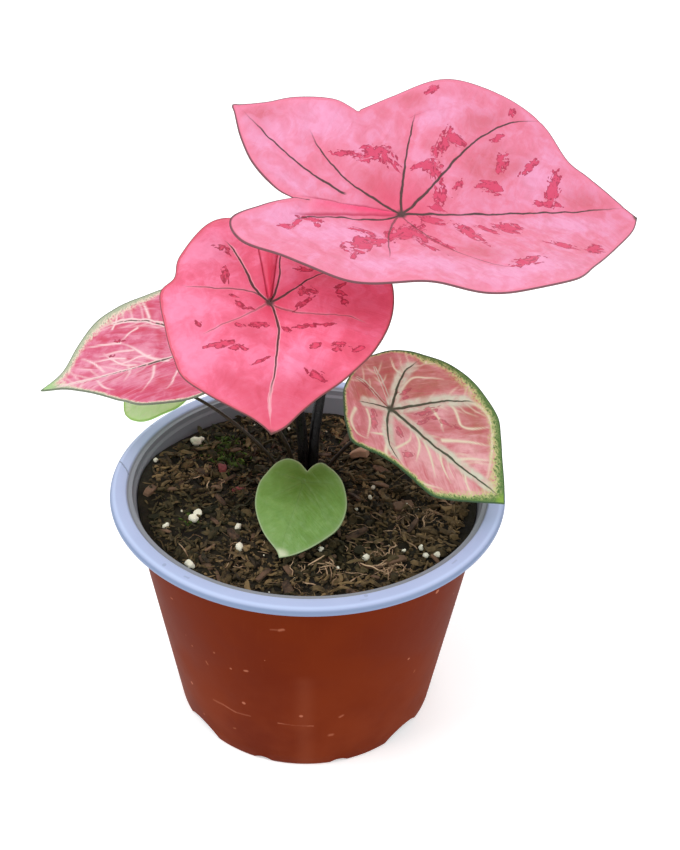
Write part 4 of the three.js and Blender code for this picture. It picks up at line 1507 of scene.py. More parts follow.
@dataclass
class Blade:
    """A leaf's blade.

    Attributes:
        form: The leaf's form.
        finish: Its colours.
        rise: Height of the upper face over the middle surface.
        thickness: The blade's thickness.
        groove: Depth of the main veins in the upper face.
        pillow: Height of the panels between the veins.
        crinkle: Height of the fine unevenness.
        panel_half: Half width of the slope beside a main vein.
        groove_half: Half width of a main vein's groove.
        crinkle_size: Size of the fine unevenness.
        knot: Radius round the stalk inside which the panels fade.
        net_depth: Depth of the side veins.
        comb: How much finer the unevenness is across the streaks, and how it drifts.
        waves: Number of waves round the margin, and where they start, in radians.
        parting: Degrees over which the lobes part, distance over which they do so past the
            closed part, and degrees over which their curl fades.
        taper: A side vein's width at its end, and how much it gains, against its own.
        faint: A side vein's strength at its end, and how fast it grows.
        rows: How the faint side veins are drawn.
        fold_tip: Length of the midrib for which the fold's sizes are given.
        fold_width: Half width of the fold at the stalk, and of its flanks.
        fold_start: Distance over which it rises from the stalk.
        fold_end: Share of the closed part over which it runs out beyond it.
        crisp: Angle above which edges stay crisp, in degrees.
    """

    form: LeafForm
    finish: LeafFinish
    rise: float = 0.35
    thickness: float = 0.6
    groove: float = 0.35
    pillow: float = 0.8
    crinkle: float = 0.32
    panel_half: float = 5.5
    groove_half: float = 0.75
    crinkle_size: float = 9.0
    knot: float = 10.0
    net_depth: float = 0.12
    comb: Pair = (3.0, 0.2)
    waves: Pair = (7.0, 0.6)
    parting: Triple = (6.0, 5.0, 18.0)
    taper: Pair = (0.45, 0.7)
    faint: Pair = (0.25, 2.0)
    rows: SideRows = SideRows()
    fold_tip: float = 90.0
    fold_width: float = 0.5
    fold_start: float = 4.0
    fold_end: float = 0.22
    crisp: float = 50.0

    def outline(self) -> np.ndarray:
        """The edge, counter-clockwise from the tip and back to it.

        Returns:
            The edge's points, one row each.
        """
        form = self.form
        tip = np.array([[form.tip, 0.0]])
        sinus = from_polar([(form.sinus[0], max(form.sinus[1], form.closed_to))])
        half = form.spokes // 2
        left = even(spline(np.vstack([tip, from_polar(form.left), sinus])), half)
        right = even(spline(np.vstack([tip, from_polar(form.right), sinus])), half)
        return np.vstack([left, right[::-1][1:]])

    def lift(self, x: np.ndarray, y: np.ndarray, reach: np.ndarray) -> np.ndarray:
        """Height of the blade's main form.

        Args:
            x: Along the midrib.
            y: Across it.
            reach: Share of the way from the stalk to the edge.

        Returns:
            The height over the frame's plane.
        """
        form = self.form
        ahead = np.maximum(x, 0) / form.tip
        behind = np.maximum(-x, 0) / form.tip
        turn = np.arctan2(y, x)
        fold = form.vee * (np.hypot(y, form.crease) - form.crease)
        count, start = self.waves
        wave = form.wave * reach ** 3 * np.sin(count * turn + start)
        droop = form.nod * ahead ** 2 + form.bow * behind ** 2
        past = np.mod(turn - math.radians(form.sinus[0]), 2 * math.pi)
        on_right = past < math.pi
        away = np.where(on_right, past, 2 * math.pi - past)
        radius = np.hypot(x, y)
        grow = np.maximum(0, radius - form.sinus[1]) / form.tip
        part_turn, part_length, fade_turn = self.parting
        apart = 1 - np.exp(-(away / math.radians(part_turn)) ** 2)
        apart = np.maximum(apart, np.clip((radius - form.closed_to) / part_length, 0, 1))
        side = np.where(on_right, 2, -1) * apart + 0.5 * (1 - apart)
        curl = form.curl * grow * np.exp(-away / math.radians(fade_turn)) * side
        return fold + wave - droop + curl

    def relief(self, x: np.ndarray, y: np.ndarray, reach: np.ndarray,
               net: np.ndarray) -> np.ndarray:
        """Height of the veins' grooves and the panels between them.

        Args:
            x: Along the midrib.
            y: Across it.
            reach: Share of the way from the stalk to the edge.
            net: Strength of the side veins.

        Returns:
            The height that is added to the main form.
        """
        form = self.form
        nearest = np.full(x.shape, 1e9)
        for vein in form.veins:
            nearest = np.minimum(nearest, distance_to(vein.course(form.tip, 24), x, y))
        radius = np.hypot(x, y)
        size = form.scale()
        panels = 1 - np.exp(-(nearest / (self.panel_half * size)) ** 2)
        fade = np.clip(radius / (self.knot * size), 0, 1) * (1 - reach ** 6)
        grooves = np.exp(-(nearest / (self.groove_half * size)) ** 2) * (1 - 0.6 * reach)
        flat = np.stack([x, y, np.zeros_like(x)], 1)
        soft = lump_field(flat, self.crinkle_size * size, 2, form.tip)
        turn = math.radians(form.streak)
        finer, drift = self.comb
        ripple = np.column_stack([x * math.cos(turn) + np.abs(y) * math.sin(turn),
                                  finer * (np.abs(y) * math.cos(turn) - x * math.sin(turn)),
                                  drift * y])
        fine = lump_field(ripple, self.crinkle_size * size, 2, form.tip + 7)
        return size * (self.pillow * panels * fade - self.groove * grooves
                       - self.net_depth * net + self.crinkle * fade * (soft + 0.8 * fine))

    def net(self, x: np.ndarray, y: np.ndarray) -> np.ndarray:
        """Strength of the side veins: those drawn one by one, and rows beside the main ones.

        Args:
            x: Along the midrib.
            y: Across it.

        Returns:
            One strength for each point.
        """
        form = self.form
        strength = np.zeros_like(x)
        for branch in form.branches:
            course = spline(from_polar(branch.points), 6)
            strength = np.maximum(strength, self._taper(course, 0.5 * branch.width, x, y))
        for course, width in self._side_rows():
            strength = np.maximum(strength, 0.5 * self._taper(course, width, x, y))
        return strength

    def _taper(self, course: np.ndarray, width: float, x: np.ndarray,
               y: np.ndarray) -> np.ndarray:
        """Strength of a line that thins and fades from its first point to its last.

        Args:
            course: The line's points.
            width: Its half width.
            x: Along the midrib.
            y: Across it.

        Returns:
            One strength for each point.
        """
        finest = 0.45 * self.form.tip / self.form.rings
        first, last = (np.hypot(x - end[0], y - end[1]) for end in (course[0], course[-1]))
        left = 1 - first / (first + last + 1e-6)
        away = distance_to(course, x, y)
        wide = np.maximum(width * (self.taper[0] + self.taper[1] * left), finest)
        return np.exp(-(away / wide) ** 2) * np.minimum(1, self.faint[0] + self.faint[1] * left)

    def _side_rows(self) -> list[tuple[np.ndarray, float]]:
        """Rows of faint side veins that leave the main veins towards the edge.

        Returns:
            The line and width of each.
        """
        form, kind = self.form, self.rows
        rows = []
        draw = random.Random(form.name)
        spacing = form.tip / form.side_veins
        for vein in form.veins:
            at = max(vein.start, form.tip * kind.first) + draw.uniform(0, kind.jitter)
            while at < vein.end * kind.last:
                turn = math.radians(float(vein.bearing(np.array(at), form.tip)))
                start = np.array([at * math.cos(turn), at * math.sin(turn)])
                length = min(form.tip * kind.longest, at * kind.grown)
                half = length * draw.uniform(*kind.lengths) * 0.5
                for side in (1, -1):
                    if draw.random() < kind.left_out:
                        continue
                    lean = turn + side * math.radians(draw.uniform(*kind.lean))
                    bent = turn + side * math.radians(draw.uniform(*kind.bent))
                    middle = start + half * np.array([math.cos(lean), math.sin(lean)])
                    end = middle + half * np.array([math.cos(bent), math.sin(bent)])
                    rows.append((np.array([start, middle, end]),
                                 draw.uniform(*kind.widths) / form.side_veins))
                at += spacing * draw.uniform(*kind.spacing)
        return rows

    def blotch_fields(self, x: np.ndarray, y: np.ndarray) -> tuple[np.ndarray, np.ndarray]:
        """A field that is 1 in the middle of each blotch, and places along and across it.

        Args:
            x: Along the midrib.
            y: Across it.

        Returns:
            The field, and one row of places for each point.
        """
        total = np.zeros_like(x)
        grain = np.zeros((len(x), 3))
        for number, spot in enumerate(self.form.blotches):
            along, across = spot.axes(x, y)
            away = (along / spot.length) ** 2 + (across / (spot.width * 1.05 + 0.1)) ** 2
            here = np.exp(-0.62 * away)
            nearest = here > total
            own = np.column_stack([along, across, np.full(len(x), number * 7.3)])
            grain[nearest] = own[nearest]
            total = np.maximum(total, here)
        return total, grain

    def patch_field(self, patches: Sequence[Blotch], x: np.ndarray, y: np.ndarray) -> np.ndarray:
        """The soft sum of some patches.

        Args:
            patches: The patches.
            x: Along the midrib.
            y: Across it.

        Returns:
            One value for each point.
        """
        total = np.zeros_like(x)
        for spot in patches:
            along, across = spot.axes(x, y)
            total += np.exp(-(along / spot.length) ** 2 - (across / spot.width) ** 2)
        return np.minimum(total, 1.0)

    def fold_fields(self, x: np.ndarray, y: np.ndarray) -> tuple[np.ndarray, np.ndarray]:
        """Strength of the fold where the lobes meet, and of its two flanks, which shape its ridge
        and carry its painted shade.

        Args:
            x: Along the midrib.
            y: Across it.

        Returns:
            The strengths of the fold and of its flanks.
        """
        form = self.form
        if not form.closed_to:
            return np.zeros_like(x), np.zeros_like(x)
        turn = math.radians(form.sinus[0])
        along = x * math.cos(turn) + y * math.sin(turn)
        across = x * math.sin(turn) - y * math.cos(turn)
        size = form.tip / self.fold_tip
        narrow = self.fold_width * size
        slope = np.where(across > 0, form.fold[0], form.fold[1])
        width = narrow + slope * np.maximum(along, 0)
        share = np.abs(across) / width
        past = np.clip((along - form.closed_to) / (self.fold_end * form.closed_to), 0, 1)
        begun = np.clip(along / (self.fold_start * size), 0, 1)
        reach = np.where(along > 0, begun * (1 - past), 0.0)
        ridge = np.clip(1.25 - share, 0, 1) * reach
        flank = np.exp(-((np.abs(across) - width) / narrow) ** 2) * reach
        return ridge, flank

    def build(self, effects: Effects) -> bpy.types.Object:
        """Builds the blade and lets it stand for its CAD node.

        Args:
            effects: The shared effects.

        Returns:
            The blade.
        """
        form = self.form
        edge = self.outline()
        reach = np.zeros(0)

        def place(round_: np.ndarray, out: np.ndarray) -> np.ndarray:
            """Places in the blade's plane, with the rings closer together near the edge.

            Args:
                round_: Shares of the way round.
                out: Shares of the way outwards.

            Returns:
                The places in metres, one row each.
            """
            nonlocal reach
            spoke = np.rint((1 - round_) * form.spokes).astype(int)
            reach = out * (1.35 - 0.35 * out)
            plane = edge[spoke] * reach[:, None]
            return np.column_stack([plane, np.zeros(len(reach))]) * MM

        piece = shaped_grid(f"{form.name}_leaf_blade", form.spokes, form.rings, place)
        set_attribute(piece, "reach", reach)
        outward(piece, 0.002)
        self._orient(piece)
        self._lay_down(piece, edge)
        wall = piece.modifiers.new("wall", "SOLIDIFY")
        wall.thickness = self.thickness * MM
        wall.offset = -1
        wall.material_offset = 1
        piece.data.materials.append(self.finish.upper(form, effects))
        piece.data.materials.append(self.finish.lower(form, effects))
        apply_modifiers(piece)
        smooth_by_angle(piece, self.crisp)
        return take_over(piece, f"{form.name}_blade", f"blade_{form.name}")

    def _orient(self, piece: bpy.types.Object) -> None:
        """Turns the flat blade's faces upwards.

        Args:
            piece: The piece.
        """
        if sum(face.normal.z for face in piece.data.polygons) < 0:
            choose(piece)
            bpy.ops.object.mode_set(mode="EDIT")
            bpy.ops.mesh.select_all(action="SELECT")
            bpy.ops.mesh.flip_normals()
            bpy.ops.object.mode_set(mode="OBJECT")

    def _lay_down(self, piece: bpy.types.Object, edge: np.ndarray) -> None:
        """Gives the flat blade its form, its stored fields and its place on the stalk.

        Args:
            piece: The piece.
            edge: The edge's points.
        """
        form = self.form
        plane = points_of(piece) / MM
        x, y = plane[:, 0], plane[:, 1]
        reach = np.zeros(len(x), np.float32)
        piece.data.attributes["reach"].data.foreach_get("value", reach)
        net = self.net(x, y)
        away = distance_to(edge, x, y)
        bearing = np.degrees(np.arctan2(y, x))
        margin, rim = (np.interp(bearing, *np.array(shape, float).T)
                       for shape in (form.margin_shape, form.edge_shape))
        blotched, grain = self.blotch_fields(x, y)
        ridge, flank = self.fold_fields(x, y)
        # The fold and flank fields carry the painted shade where the lobes meet.
        for label, values in (
                ("net", net), ("edge", away / rim), ("margin", away / margin),
                ("blotch", blotched), ("flank", flank),
                ("fold", ridge * np.clip(1.35 - np.hypot(x, y) / max(form.closed_to, 9), 0.25, 1)),
                ("light", self.patch_field(form.lights, x, y)),
                ("dull", self.patch_field(form.dulls, x, y)),
                ("tip_away", np.hypot(x - form.tip, y))):
            set_attribute(piece, label, values)
        layer = piece.data.attributes.new("grain", "FLOAT_VECTOR", "POINT")
        layer.data.foreach_set("vector", grain.astype(np.float32).ravel())
        square = piece.data.uv_layers.new(name="Leaf")
        corners = np.zeros(len(piece.data.loops), np.int32)
        piece.data.loops.foreach_get("vertex_index", corners)
        square.data.foreach_set("uv", (plane[corners, :2] / LEAF_SPAN + 0.5).ravel())
        height = (self.lift(x, y, reach) + self.relief(x, y, reach, net) + self.rise
                  + form.ridge * (ridge - 0.6 * flank))
        turned = np.column_stack([x, y, height]) @ np.array(form.turn()).T
        move_points(piece, (turned + np.array(form.hub)) * MM)


@dataclass(frozen=True)
class StalkFinish:
    """A stalk's colours.

    Attributes:
        skin: Its skin.
        streak: The streaks along it.
        foot: The tone at its foot.
        roughness: Its roughness.
        foot_heights: Where the foot's tone begins to fade, and where it has gone.
        grain: How fine its streaks are across and along.
        mottling: How fine its broad and its fine variation are.
    """

    skin: Colour
    streak: Colour
    foot: Colour
    roughness: float = 0.38
    foot_heights: Pair = (88.0, 104.0)
    grain: Triple = (1400.0, 1400.0, 90.0)
    mottling: Pair = (260.0, 1500.0)

    def build(self, name: str, effects: Effects) -> bpy.types.Material:
        """Builds the stalk's material.

        Args:
            name: Its name.
            effects: The shared effects.

        Returns:
            The material.
        """
        material, tree, shader = new_finish(name)
        place = tree.object_place()
        along = tree.stretched(place, self.grain)
        streaks = tree.ramp(tree.noise(along, 1.0, 3.0, 0.6), 0.42, 0.66)
        body = tree.mix(tree.math("MULTIPLY", streaks, 0.7), self.skin, self.streak)
        low = tree.ramp(tree.split(place)[2], *metres(*self.foot_heights), 0.8, 0.0)
        body = tree.mix(low, body, self.foot)
        broad, fine = self.mottling
        mottle = effects.mottle.place(tree, Place=place, Broad=broad, Fine=fine)
        rough = tree.ramp(mottle["Fine"], 0.0, 1.0, self.roughness - 0.08, self.roughness + 0.14)
        dress(tree, shader, body, rough, tree.math("ADD", streaks, mottle["Height"]), 0.12, 0.6,
              shine=0.3)
        return material


NEAR_BLACK = StalkFinish(rgb(8, 6, 7), rgb(24, 19, 19), rgb(14, 10, 9), 0.34)
OLIVE_BROWN = StalkFinish(rgb(46, 38, 24), rgb(72, 62, 40), rgb(44, 34, 22))
DARK_BROWN = StalkFinish(rgb(36, 26, 18), rgb(58, 44, 30), rgb(36, 26, 18))
SOFT_GREEN = StalkFinish(rgb(92, 108, 54), rgb(124, 140, 78), rgb(84, 82, 48))


@dataclass
class Stalk:
    """A leaf's stalk, a tapered tube along the same course as its solid.

    Attributes:
        form: The leaf's form.
        finish: Its colours.
        sides: Faces round the tube.
        steps: Faces along it.
        foot_flare: Its radius at the foot against its own.
        foot_spread: How much further apart the feet stand than the route says.
        foot_clearance: Gap between the foot and the tuber.
        neck_taper: Its radius at the blade against its own.
        neck_reach: Share of the midrib's length over which it meets the blade upright.
        blade_half: Half the blade's thickness.
        neck_clearance: Gap between the neck and the blade in the solids.
        overlap: How far the neck runs on into the blade.
        sheath: How much thicker it is where it leaves the soil, the height of that place, and
            how far it reaches.
        ribs: Height of its ribs against its radius, and their number.
        tuber: The tuber's radius, height and top.
        slim: Its thickness against the solid's.
        crisp: Angle above which edges stay crisp, in degrees.
    """

    form: LeafForm
    finish: StalkFinish
    sides: int = 20
    steps: int = 110
    foot_flare: float = 1.15
    foot_spread: float = 1.15
    foot_clearance: float = 0.5
    neck_taper: float = 0.8
    neck_reach: float = 0.07
    blade_half: float = 0.45
    neck_clearance: float = 0.55
    overlap: float = 0.75
    sheath: Triple = (0.1, 90.0, 9.0)
    ribs: tuple[float, int] = (0.018, 9)
    tuber: Triple = (17.0, 18.0, 72.0)
    slim: float = 1.0
    crisp: float = 50.0

    def course(self) -> np.ndarray:
        """The middle of the tube, from its foot on the tuber to the blade.

        Returns:
            The points, one row each.
        """
        form, route = self.form, self.form.stalk.route
        upward = np.array(form.turn() @ Vector((0, 0, 1)))
        hub = np.array(form.hub, float)
        seat = hub - upward * (self.blade_half + self.neck_clearance)
        neck = hub - upward * self.neck_reach * form.tip
        radius, height, top = self.tuber
        x, y = route[0][0] * self.foot_spread, route[0][1] * self.foot_spread
        inner = math.hypot(x, y) - form.stalk.diameter / 2 * self.foot_flare
        drop = 1 - math.sqrt(1 - (inner / radius) ** 2)
        foot = (x, y, top - height / 2 * drop + self.foot_clearance)
        points = np.vstack([[foot], np.array(route, float), [neck], [seat]])
        line = even(centripetal(points), self.steps - 1)
        return np.vstack([line, [seat + upward * self.overlap]])

    def build(self, effects: Effects) -> bpy.types.Object:
        """Builds the tube and lets it stand for its CAD node.

        Args:
            effects: The shared effects.

        Returns:
            The stalk.
        """
        form = self.form
        line = self.course()
        across = tube_frames(line)
        radius = form.stalk.diameter / 2
        widths = np.linspace(radius * self.foot_flare, radius * self.neck_taper, len(line))
        swell, height, reach = self.sheath
        widths = widths * (1 + swell * np.exp(-((line[:, 2] - height) / reach) ** 2)) * self.slim
        rib, count = self.ribs

        def place(round_: np.ndarray, along: np.ndarray) -> np.ndarray:
            """Places round the tube.

            Args:
                round_: Shares of the way round.
                along: Shares of the way along.

            Returns:
                The places in metres, one row each.
            """
            step = np.rint(along * self.steps).astype(int)
            turn = round_ * 2 * math.pi
            ribs = 1 + rib * np.sin(count * turn + 0.04 * step)
            side, up = across[0][step], across[1][step]
            out = side * np.cos(turn)[:, None] + up * np.sin(turn)[:, None]
            return (line[step] + out * (widths[step] * ribs)[:, None]) * MM

        name = f"{form.name}_leaf_stalk"
        piece = shaped_grid(name, self.sides, self.steps, place)
        outward(piece, 0.002)
        close_ends(piece)
        piece.data.materials.append(self.finish.build(name, effects))
        smooth_by_angle(piece, self.crisp)
        slots = {"top": "dark_petiole", "front": "dark_petiole"}
        return take_over(piece, slots.get(form.name, f"{form.name}_petiole"),
                         f"petiole_{form.name}")


def close_ends(piece: bpy.types.Object, weld: float = 0.0) -> None:
    """Fills a tube's open ends and turns its faces outwards.

    Args:
        piece: The tube.
        weld: Distance under which points merge first, in millimetres, or 0 to leave them.
    """
    choose(piece)
    bpy.ops.object.mode_set(mode="EDIT")
    bpy.ops.mesh.select_all(action="SELECT")
    if weld:
        bpy.ops.mesh.remove_doubles(threshold=weld * MM)
    bpy.ops.mesh.fill_holes(sides=0)
    bpy.ops.mesh.select_all(action="SELECT")
    bpy.ops.mesh.normals_make_consistent(inside=False)
    bpy.ops.object.mode_set(mode="OBJECT")


def centripetal(points: np.ndarray, spans: int = 24) -> np.ndarray:
    """A centripetal Catmull-Rom curve through points, as the solids' stalks follow.

    Args:
        points: The points, one row each.
        spans: Steps between two points.

    Returns:
        Points along the curve.
    """
    padded = np.vstack([2 * points[0] - points[1], points, 2 * points[-1] - points[-2]])
    steps = np.linspace(0, 1, spans, endpoint=False)[:, None]
    parts = []
    for p0, p1, p2, p3 in zip(padded, padded[1:], padded[2:], padded[3:]):
        d0, d1, d2 = (np.linalg.norm(b - a) ** 0.5 for a, b in ((p0, p1), (p1, p2), (p2, p3)))
        lead = ((p1 - p0) / d0 - (p2 - p0) / (d0 + d1) + (p2 - p1) / d1) * d1
        trail = ((p2 - p1) / d1 - (p3 - p1) / (d1 + d2) + (p3 - p2) / d2) * d1
        parts.append(span(p1, p2, lead, trail, steps))
    return np.vstack([*parts, points[-1:]])


def tube_frames(line: np.ndarray) -> tuple[np.ndarray, np.ndarray]:
    """Two directions across a line at each of its points, carried along without twist.

    Args:
        line: The line's points.

    Returns:
        The first and the second directions.
    """
    along = np.gradient(line, axis=0)
    along /= np.linalg.norm(along, axis=1)[:, None]
    side = np.cross(along[0], (0.3, 1.0, 0.1))
    sides, ups = [], []
    for ahead in along:
        side = side - ahead * np.dot(side, ahead)
        side = side / np.linalg.norm(side)
        sides.append(side)
        ups.append(np.cross(ahead, side))
    return np.array(sides), np.array(ups)


# ---------------------------------------------------------------- pot


POT_HEIGHT = 100.0
RIM_RADIUS = 75.0
BASE_RADIUS = 52.5
SHELL_TOP = 98.5
SHELL_TOP_RADIUS = 67.7
SHELL_WALL = 0.8
LINING_WALL = 0.7
GAP = 0.3
SOIL_BOTTOM = 4.5


def shell_radius(height: float) -> float:
    """The shell's outer radius at a height."""
    return BASE_RADIUS + (SHELL_TOP_RADIUS - BASE_RADIUS) * height / SHELL_TOP


def shell_inner(height: float) -> float:
    """The shell's inner radius at a height."""
    return shell_radius(height) - SHELL_WALL


def lining_outer(height: float) -> float:
    """The lining's outer radius at a height."""
    return shell_inner(height) - GAP


def lining_inner(height: float) -> float:
    """The lining's inner radius at a height."""
    return lining_outer(height) - LINING_WALL


def turned(name: str, profile: Sequence[Pair], sides: int, closed: bool) -> bpy.types.Object:
    """Turns a profile round the upright axis, ring by ring.

    Args:
        name: The piece's name.
        profile: Radii and heights of the rings, in order.
        sides: Faces round a ring.
        closed: Whether the last ring is the first again. Otherwise the first and last are capped.

    Returns:
        The closed piece.
    """
    radius, height = profile[0]
    deselect()
    bpy.ops.mesh.primitive_circle_add(vertices=sides, radius=radius * MM,
                                      location=(0, 0, height * MM))
    piece = bpy.context.object
    piece.name = name
    bpy.ops.object.transform_apply(location=True, rotation=False, scale=False)
    bpy.ops.object.mode_set(mode="EDIT")
    bpy.ops.mesh.select_all(action="SELECT")
    if not closed:
        bpy.ops.mesh.extrude_region_move()
        bpy.ops.mesh.merge(type="CENTER")
        bpy.ops.object.mode_set(mode="OBJECT")
        top = max(len(piece.data.vertices) - 1, 0)
        for index, vertex in enumerate(piece.data.vertices):
            vertex.select = index != top
        bpy.ops.object.mode_set(mode="EDIT")
    for new_radius, new_height in profile[1:]:
        bpy.ops.mesh.extrude_region_move(
            TRANSFORM_OT_translate={"value": (0, 0, (new_height - height) * MM)})
        share = new_radius / radius
        bpy.ops.transform.resize(value=(share, share, 1), center_override=(0, 0, 0))
        radius, height = new_radius, new_height
    if not closed:
        bpy.ops.mesh.extrude_region_move()
        bpy.ops.mesh.merge(type="CENTER")
    bpy.ops.object.mode_set(mode="OBJECT")
    outward(piece, 0.002)
    return piece


def cut(piece: bpy.types.Object, cutters: Sequence[bpy.types.Object]) -> None:
    """Cuts shapes out of a piece, and removes them.

    Args:
        piece: The closed piece.
        cutters: Closed shapes that don't touch each other.
    """
    choose(cutters[0])
    for cutter in cutters[1:]:
        cutter.select_set(True)
    bpy.ops.object.join()
    tool = bpy.context.object
    made = piece.modifiers.new("cut", "BOOLEAN")
    made.operation = "DIFFERENCE"
    made.solver = "EXACT"
    made.object = tool
    apply_modifiers(piece)
    bpy.data.objects.remove(tool)


def stroke_effect() -> Effect:
    """A thin stroke from a place along a direction.

    Returns:
        The effect.
    """
    made = Effect("stroke", {"Place": None, "From": None, "Along": None, "Share": 1.0,
                             "Breadth": 0.0005, "Strength": 1.0}, {"Mask": Kind.NUMBER})
    t, given = made.tree, made.given
    away = t.vector("SUBTRACT", given["Place"], given["From"])
    share = t.math("MULTIPLY", t.measure("DOT_PRODUCT", away, given["Along"]), given["Share"],
                   clamp=True)
    gap = t.measure("DISTANCE", away, t.scaled(given["Along"], share))
    t.put(made.result["Mask"], t.ramp(gap, 0.0, given["Breadth"], given["Strength"], 0.0))
    return made


@dataclass(frozen=True)
class Mark:
    """A scratch, a speck or a painted highlight line on the plastic.

    Attributes:
        start: One end of it.
        end: The other end.
        half_width: Half its width.
        strength: How strongly it shows.
    """

    start: Triple
    end: Triple
    half_width: float
    strength: float = 0.6


def marks(*rows: Sequence[float]) -> tuple[Mark, ...]:
    """Makes marks from rows of both ends, half width and, unless it is the usual one, strength."""
    return tuple(Mark(tuple(row[:3]), tuple(row[3:6]), *row[6:]) for row in rows)


@dataclass(frozen=True)
class PlasticFinish:
    """Thin vacuum-formed plastic.

    Attributes:
        base: Its colour.
        pale: Its paler tone, in random cloudy patches and in vertical streaks of painted sheen.
        low: What it drifts to lower down.
        mark: Colour of its scratches and specks, and of any painted highlight lines among its
            marks.
        marks: Those that are drawn one by one.
        roughness: Its roughness.
        dust: How much dust it carries.
        shine: How strongly it reflects.
        inside: Painted shade: a darker colour for the lining inside the pot, below the rim, where
            shade falls, if any.
        skirt: Painted shade on the rim's turned-down edge, which faces away from the light, where
            it has an inside.
        crest_highlight: Colour of the painted highlight line round the rim.
        tint: Colour of its reflections.
        low_heights: Heights between which the lower colour fades.
        inside_shade_radii: Radii between which the painted inside shade gives way to the rim's
            colour.
        crest_highlight_radii: Where the painted highlight line begins, is brightest and ends.
        skirt_shade_radii: Radii between which the turned-down edge's painted shade sets in.
        skirt_shade_heights: Heights between which that painted shade fades.
        mottling: How fine its broad and its fine variation are.
        clouds: How fine its paler cloudy patches are.
        sheen_streaks: How fine its streaks of painted sheen are across and upwards.
        specks: How fine its specks are, and their share.
        tear: How fine the marks' ragged edges are, and how far they reach.
    """

    base: Colour
    pale: Colour
    low: Colour
    mark: Colour
    marks: tuple[Mark, ...]
    roughness: float
    dust: float
    shine: float
    inside: Colour | None = None
    skirt: Colour | None = None
    crest_highlight: Colour = rgb(196, 214, 246)
    tint: Colour = WHITE
    low_heights: Pair = (8.0, 75.0)
    inside_shade_radii: Pair = (68.35, 69.05)
    crest_highlight_radii: Triple = (72.4, 73.3, 74.2)
    skirt_shade_radii: Pair = (73.8, 74.8)
    skirt_shade_heights: Pair = (98.8, 99.9)
    mottling: Pair = (38.0, 900.0)
    clouds: float = 22.0
    sheen_streaks: Triple = (420.0, 420.0, 38.0)
    specks: Pair = (230.0, 0.035)
    tear: Pair = (700.0, 0.5)

    def _rim(self, tree: Tree, body: object, place: object, height: object) -> object:
        """Lays painted shade inside the pot below the rim, a painted highlight line round the rim
        and painted shade on its turned-down edge over a colour.

        Args:
            tree: The material's tree.
            body: The colour.
            place: The place on the pot.
            height: Its height.

        Returns:
            The toned colour.
        """
        radius = tree.measure("LENGTH", tree.stretched(place, (1.0, 1.0, 0.0)))
        # Painted shade on the lining inside the pot, below the rim.
        inside_shade_mask = tree.ramp(radius, *metres(*self.inside_shade_radii), 1.0, 0.0)
        body = tree.mix(inside_shade_mask, body, self.inside)
        # A painted highlight line round the rim's rounded edge.
        near, middle, far = metres(*self.crest_highlight_radii)
        crest_highlight = tree.math("SUBTRACT", tree.ramp(radius, near, middle),
                          tree.ramp(radius, middle, far))
        body = tree.mix(tree.math("MULTIPLY", crest_highlight, 0.6), body, self.crest_highlight)
        # Painted shade on the rim's turned-down edge.
        beyond = tree.ramp(radius, *metres(*self.skirt_shade_radii))
        below = tree.ramp(height, *metres(*self.skirt_shade_heights), 1.0, 0.0)
        return tree.mix(tree.math("MULTIPLY", beyond, below), body, self.skirt)

    def _marked(self, tree: Tree, place: object, stroke: Effect) -> object:
        """Draws the marks one by one, with ragged edges.

        Args:
            tree: The material's tree.
            place: The place on the pot.
            stroke: The stroke effect.

        Returns:
            How strongly a mark shows.
        """
        scale, reach = self.tear
        torn = tree.add("ShaderNodeTexNoise")
        tree.put(torn.inputs["Vector"], place)
        tree.put(torn.inputs["Scale"], scale)
        shift = tree.vector("MULTIPLY_ADD", torn.outputs["Color"], (reach * MM,) * 3,
                            (-reach * MM / 2,) * 3)
        ragged = tree.vector("ADD", place, shift)
        marked: object = 0.0
        for mark in self.marks:
            start, end = (Vector(spot) * MM for spot in (mark.start, mark.end))
            along = end - start
            made = stroke.place(
                tree, Place=ragged, From=start, Along=along, Share=1 / along.length_squared,
                Breadth=mark.half_width * MM * 1.3, Strength=mark.strength)
            marked = tree.math("MAXIMUM", made["Mask"], marked)
        return marked

    def build(self, name: str, effects: Effects, stroke: Effect) -> bpy.types.Material:
        """Builds the material.

        Args:
            name: Its name.
            effects: The shared effects.
            stroke: The stroke effect.

        Returns:
            The material.
        """
        material, tree, shader = new_finish(name)
        place = tree.object_place()
        height = tree.split(place)[2]
        broad, fine = self.mottling
        mottle = effects.mottle.place(tree, Place=place, Broad=broad, Fine=fine)
        cloud = tree.ramp(tree.noise(place, self.clouds, 3.0, 0.6), 0.38, 0.68)
        body = tree.mix(tree.math("MULTIPLY", cloud, 0.35), self.base, self.pale)
        low = tree.ramp(height, *metres(*self.low_heights), 0.8, 0.0)
        body = tree.mix(tree.math("MULTIPLY", low, mottle["Broad"]), body, self.low)
        # Vertical streaks of the paler tone: painted sheen.
        sheen_place = tree.stretched(place, self.sheen_streaks)
        streak = tree.ramp(tree.noise(sheen_place, 1.0, 3.0, 0.6), 0.55, 0.78)
        body = tree.mix(tree.math("MULTIPLY", streak, 0.16), body, self.pale)
        if self.inside:
            body = self._rim(tree, body, place, height)
        scale, amount = self.specks
        specks = effects.specks.place(tree, Place=place, Scale=scale, Amount=amount)["Mask"]
        body = tree.mix(tree.math("MULTIPLY", specks, self.dust), body, self.mark)
        marked = self._marked(tree, place, stroke)
        body = tree.mix(tree.math("MULTIPLY", marked, 0.8), body, self.mark)
        rough = tree.math("MULTIPLY_ADD", cloud, 0.12, self.roughness)
        rough = tree.math("MULTIPLY_ADD", marked, 0.2, rough)
        relief = tree.math("MULTIPLY_ADD", mottle["Broad"], 2.0, mottle["Height"])
        dress(tree, shader, body, rough, tree.math("SUBTRACT", relief, marked), 0.1, 0.35,
              self.shine)
        tree.put(shader.inputs["Specular Tint"], self.tint)
        return material


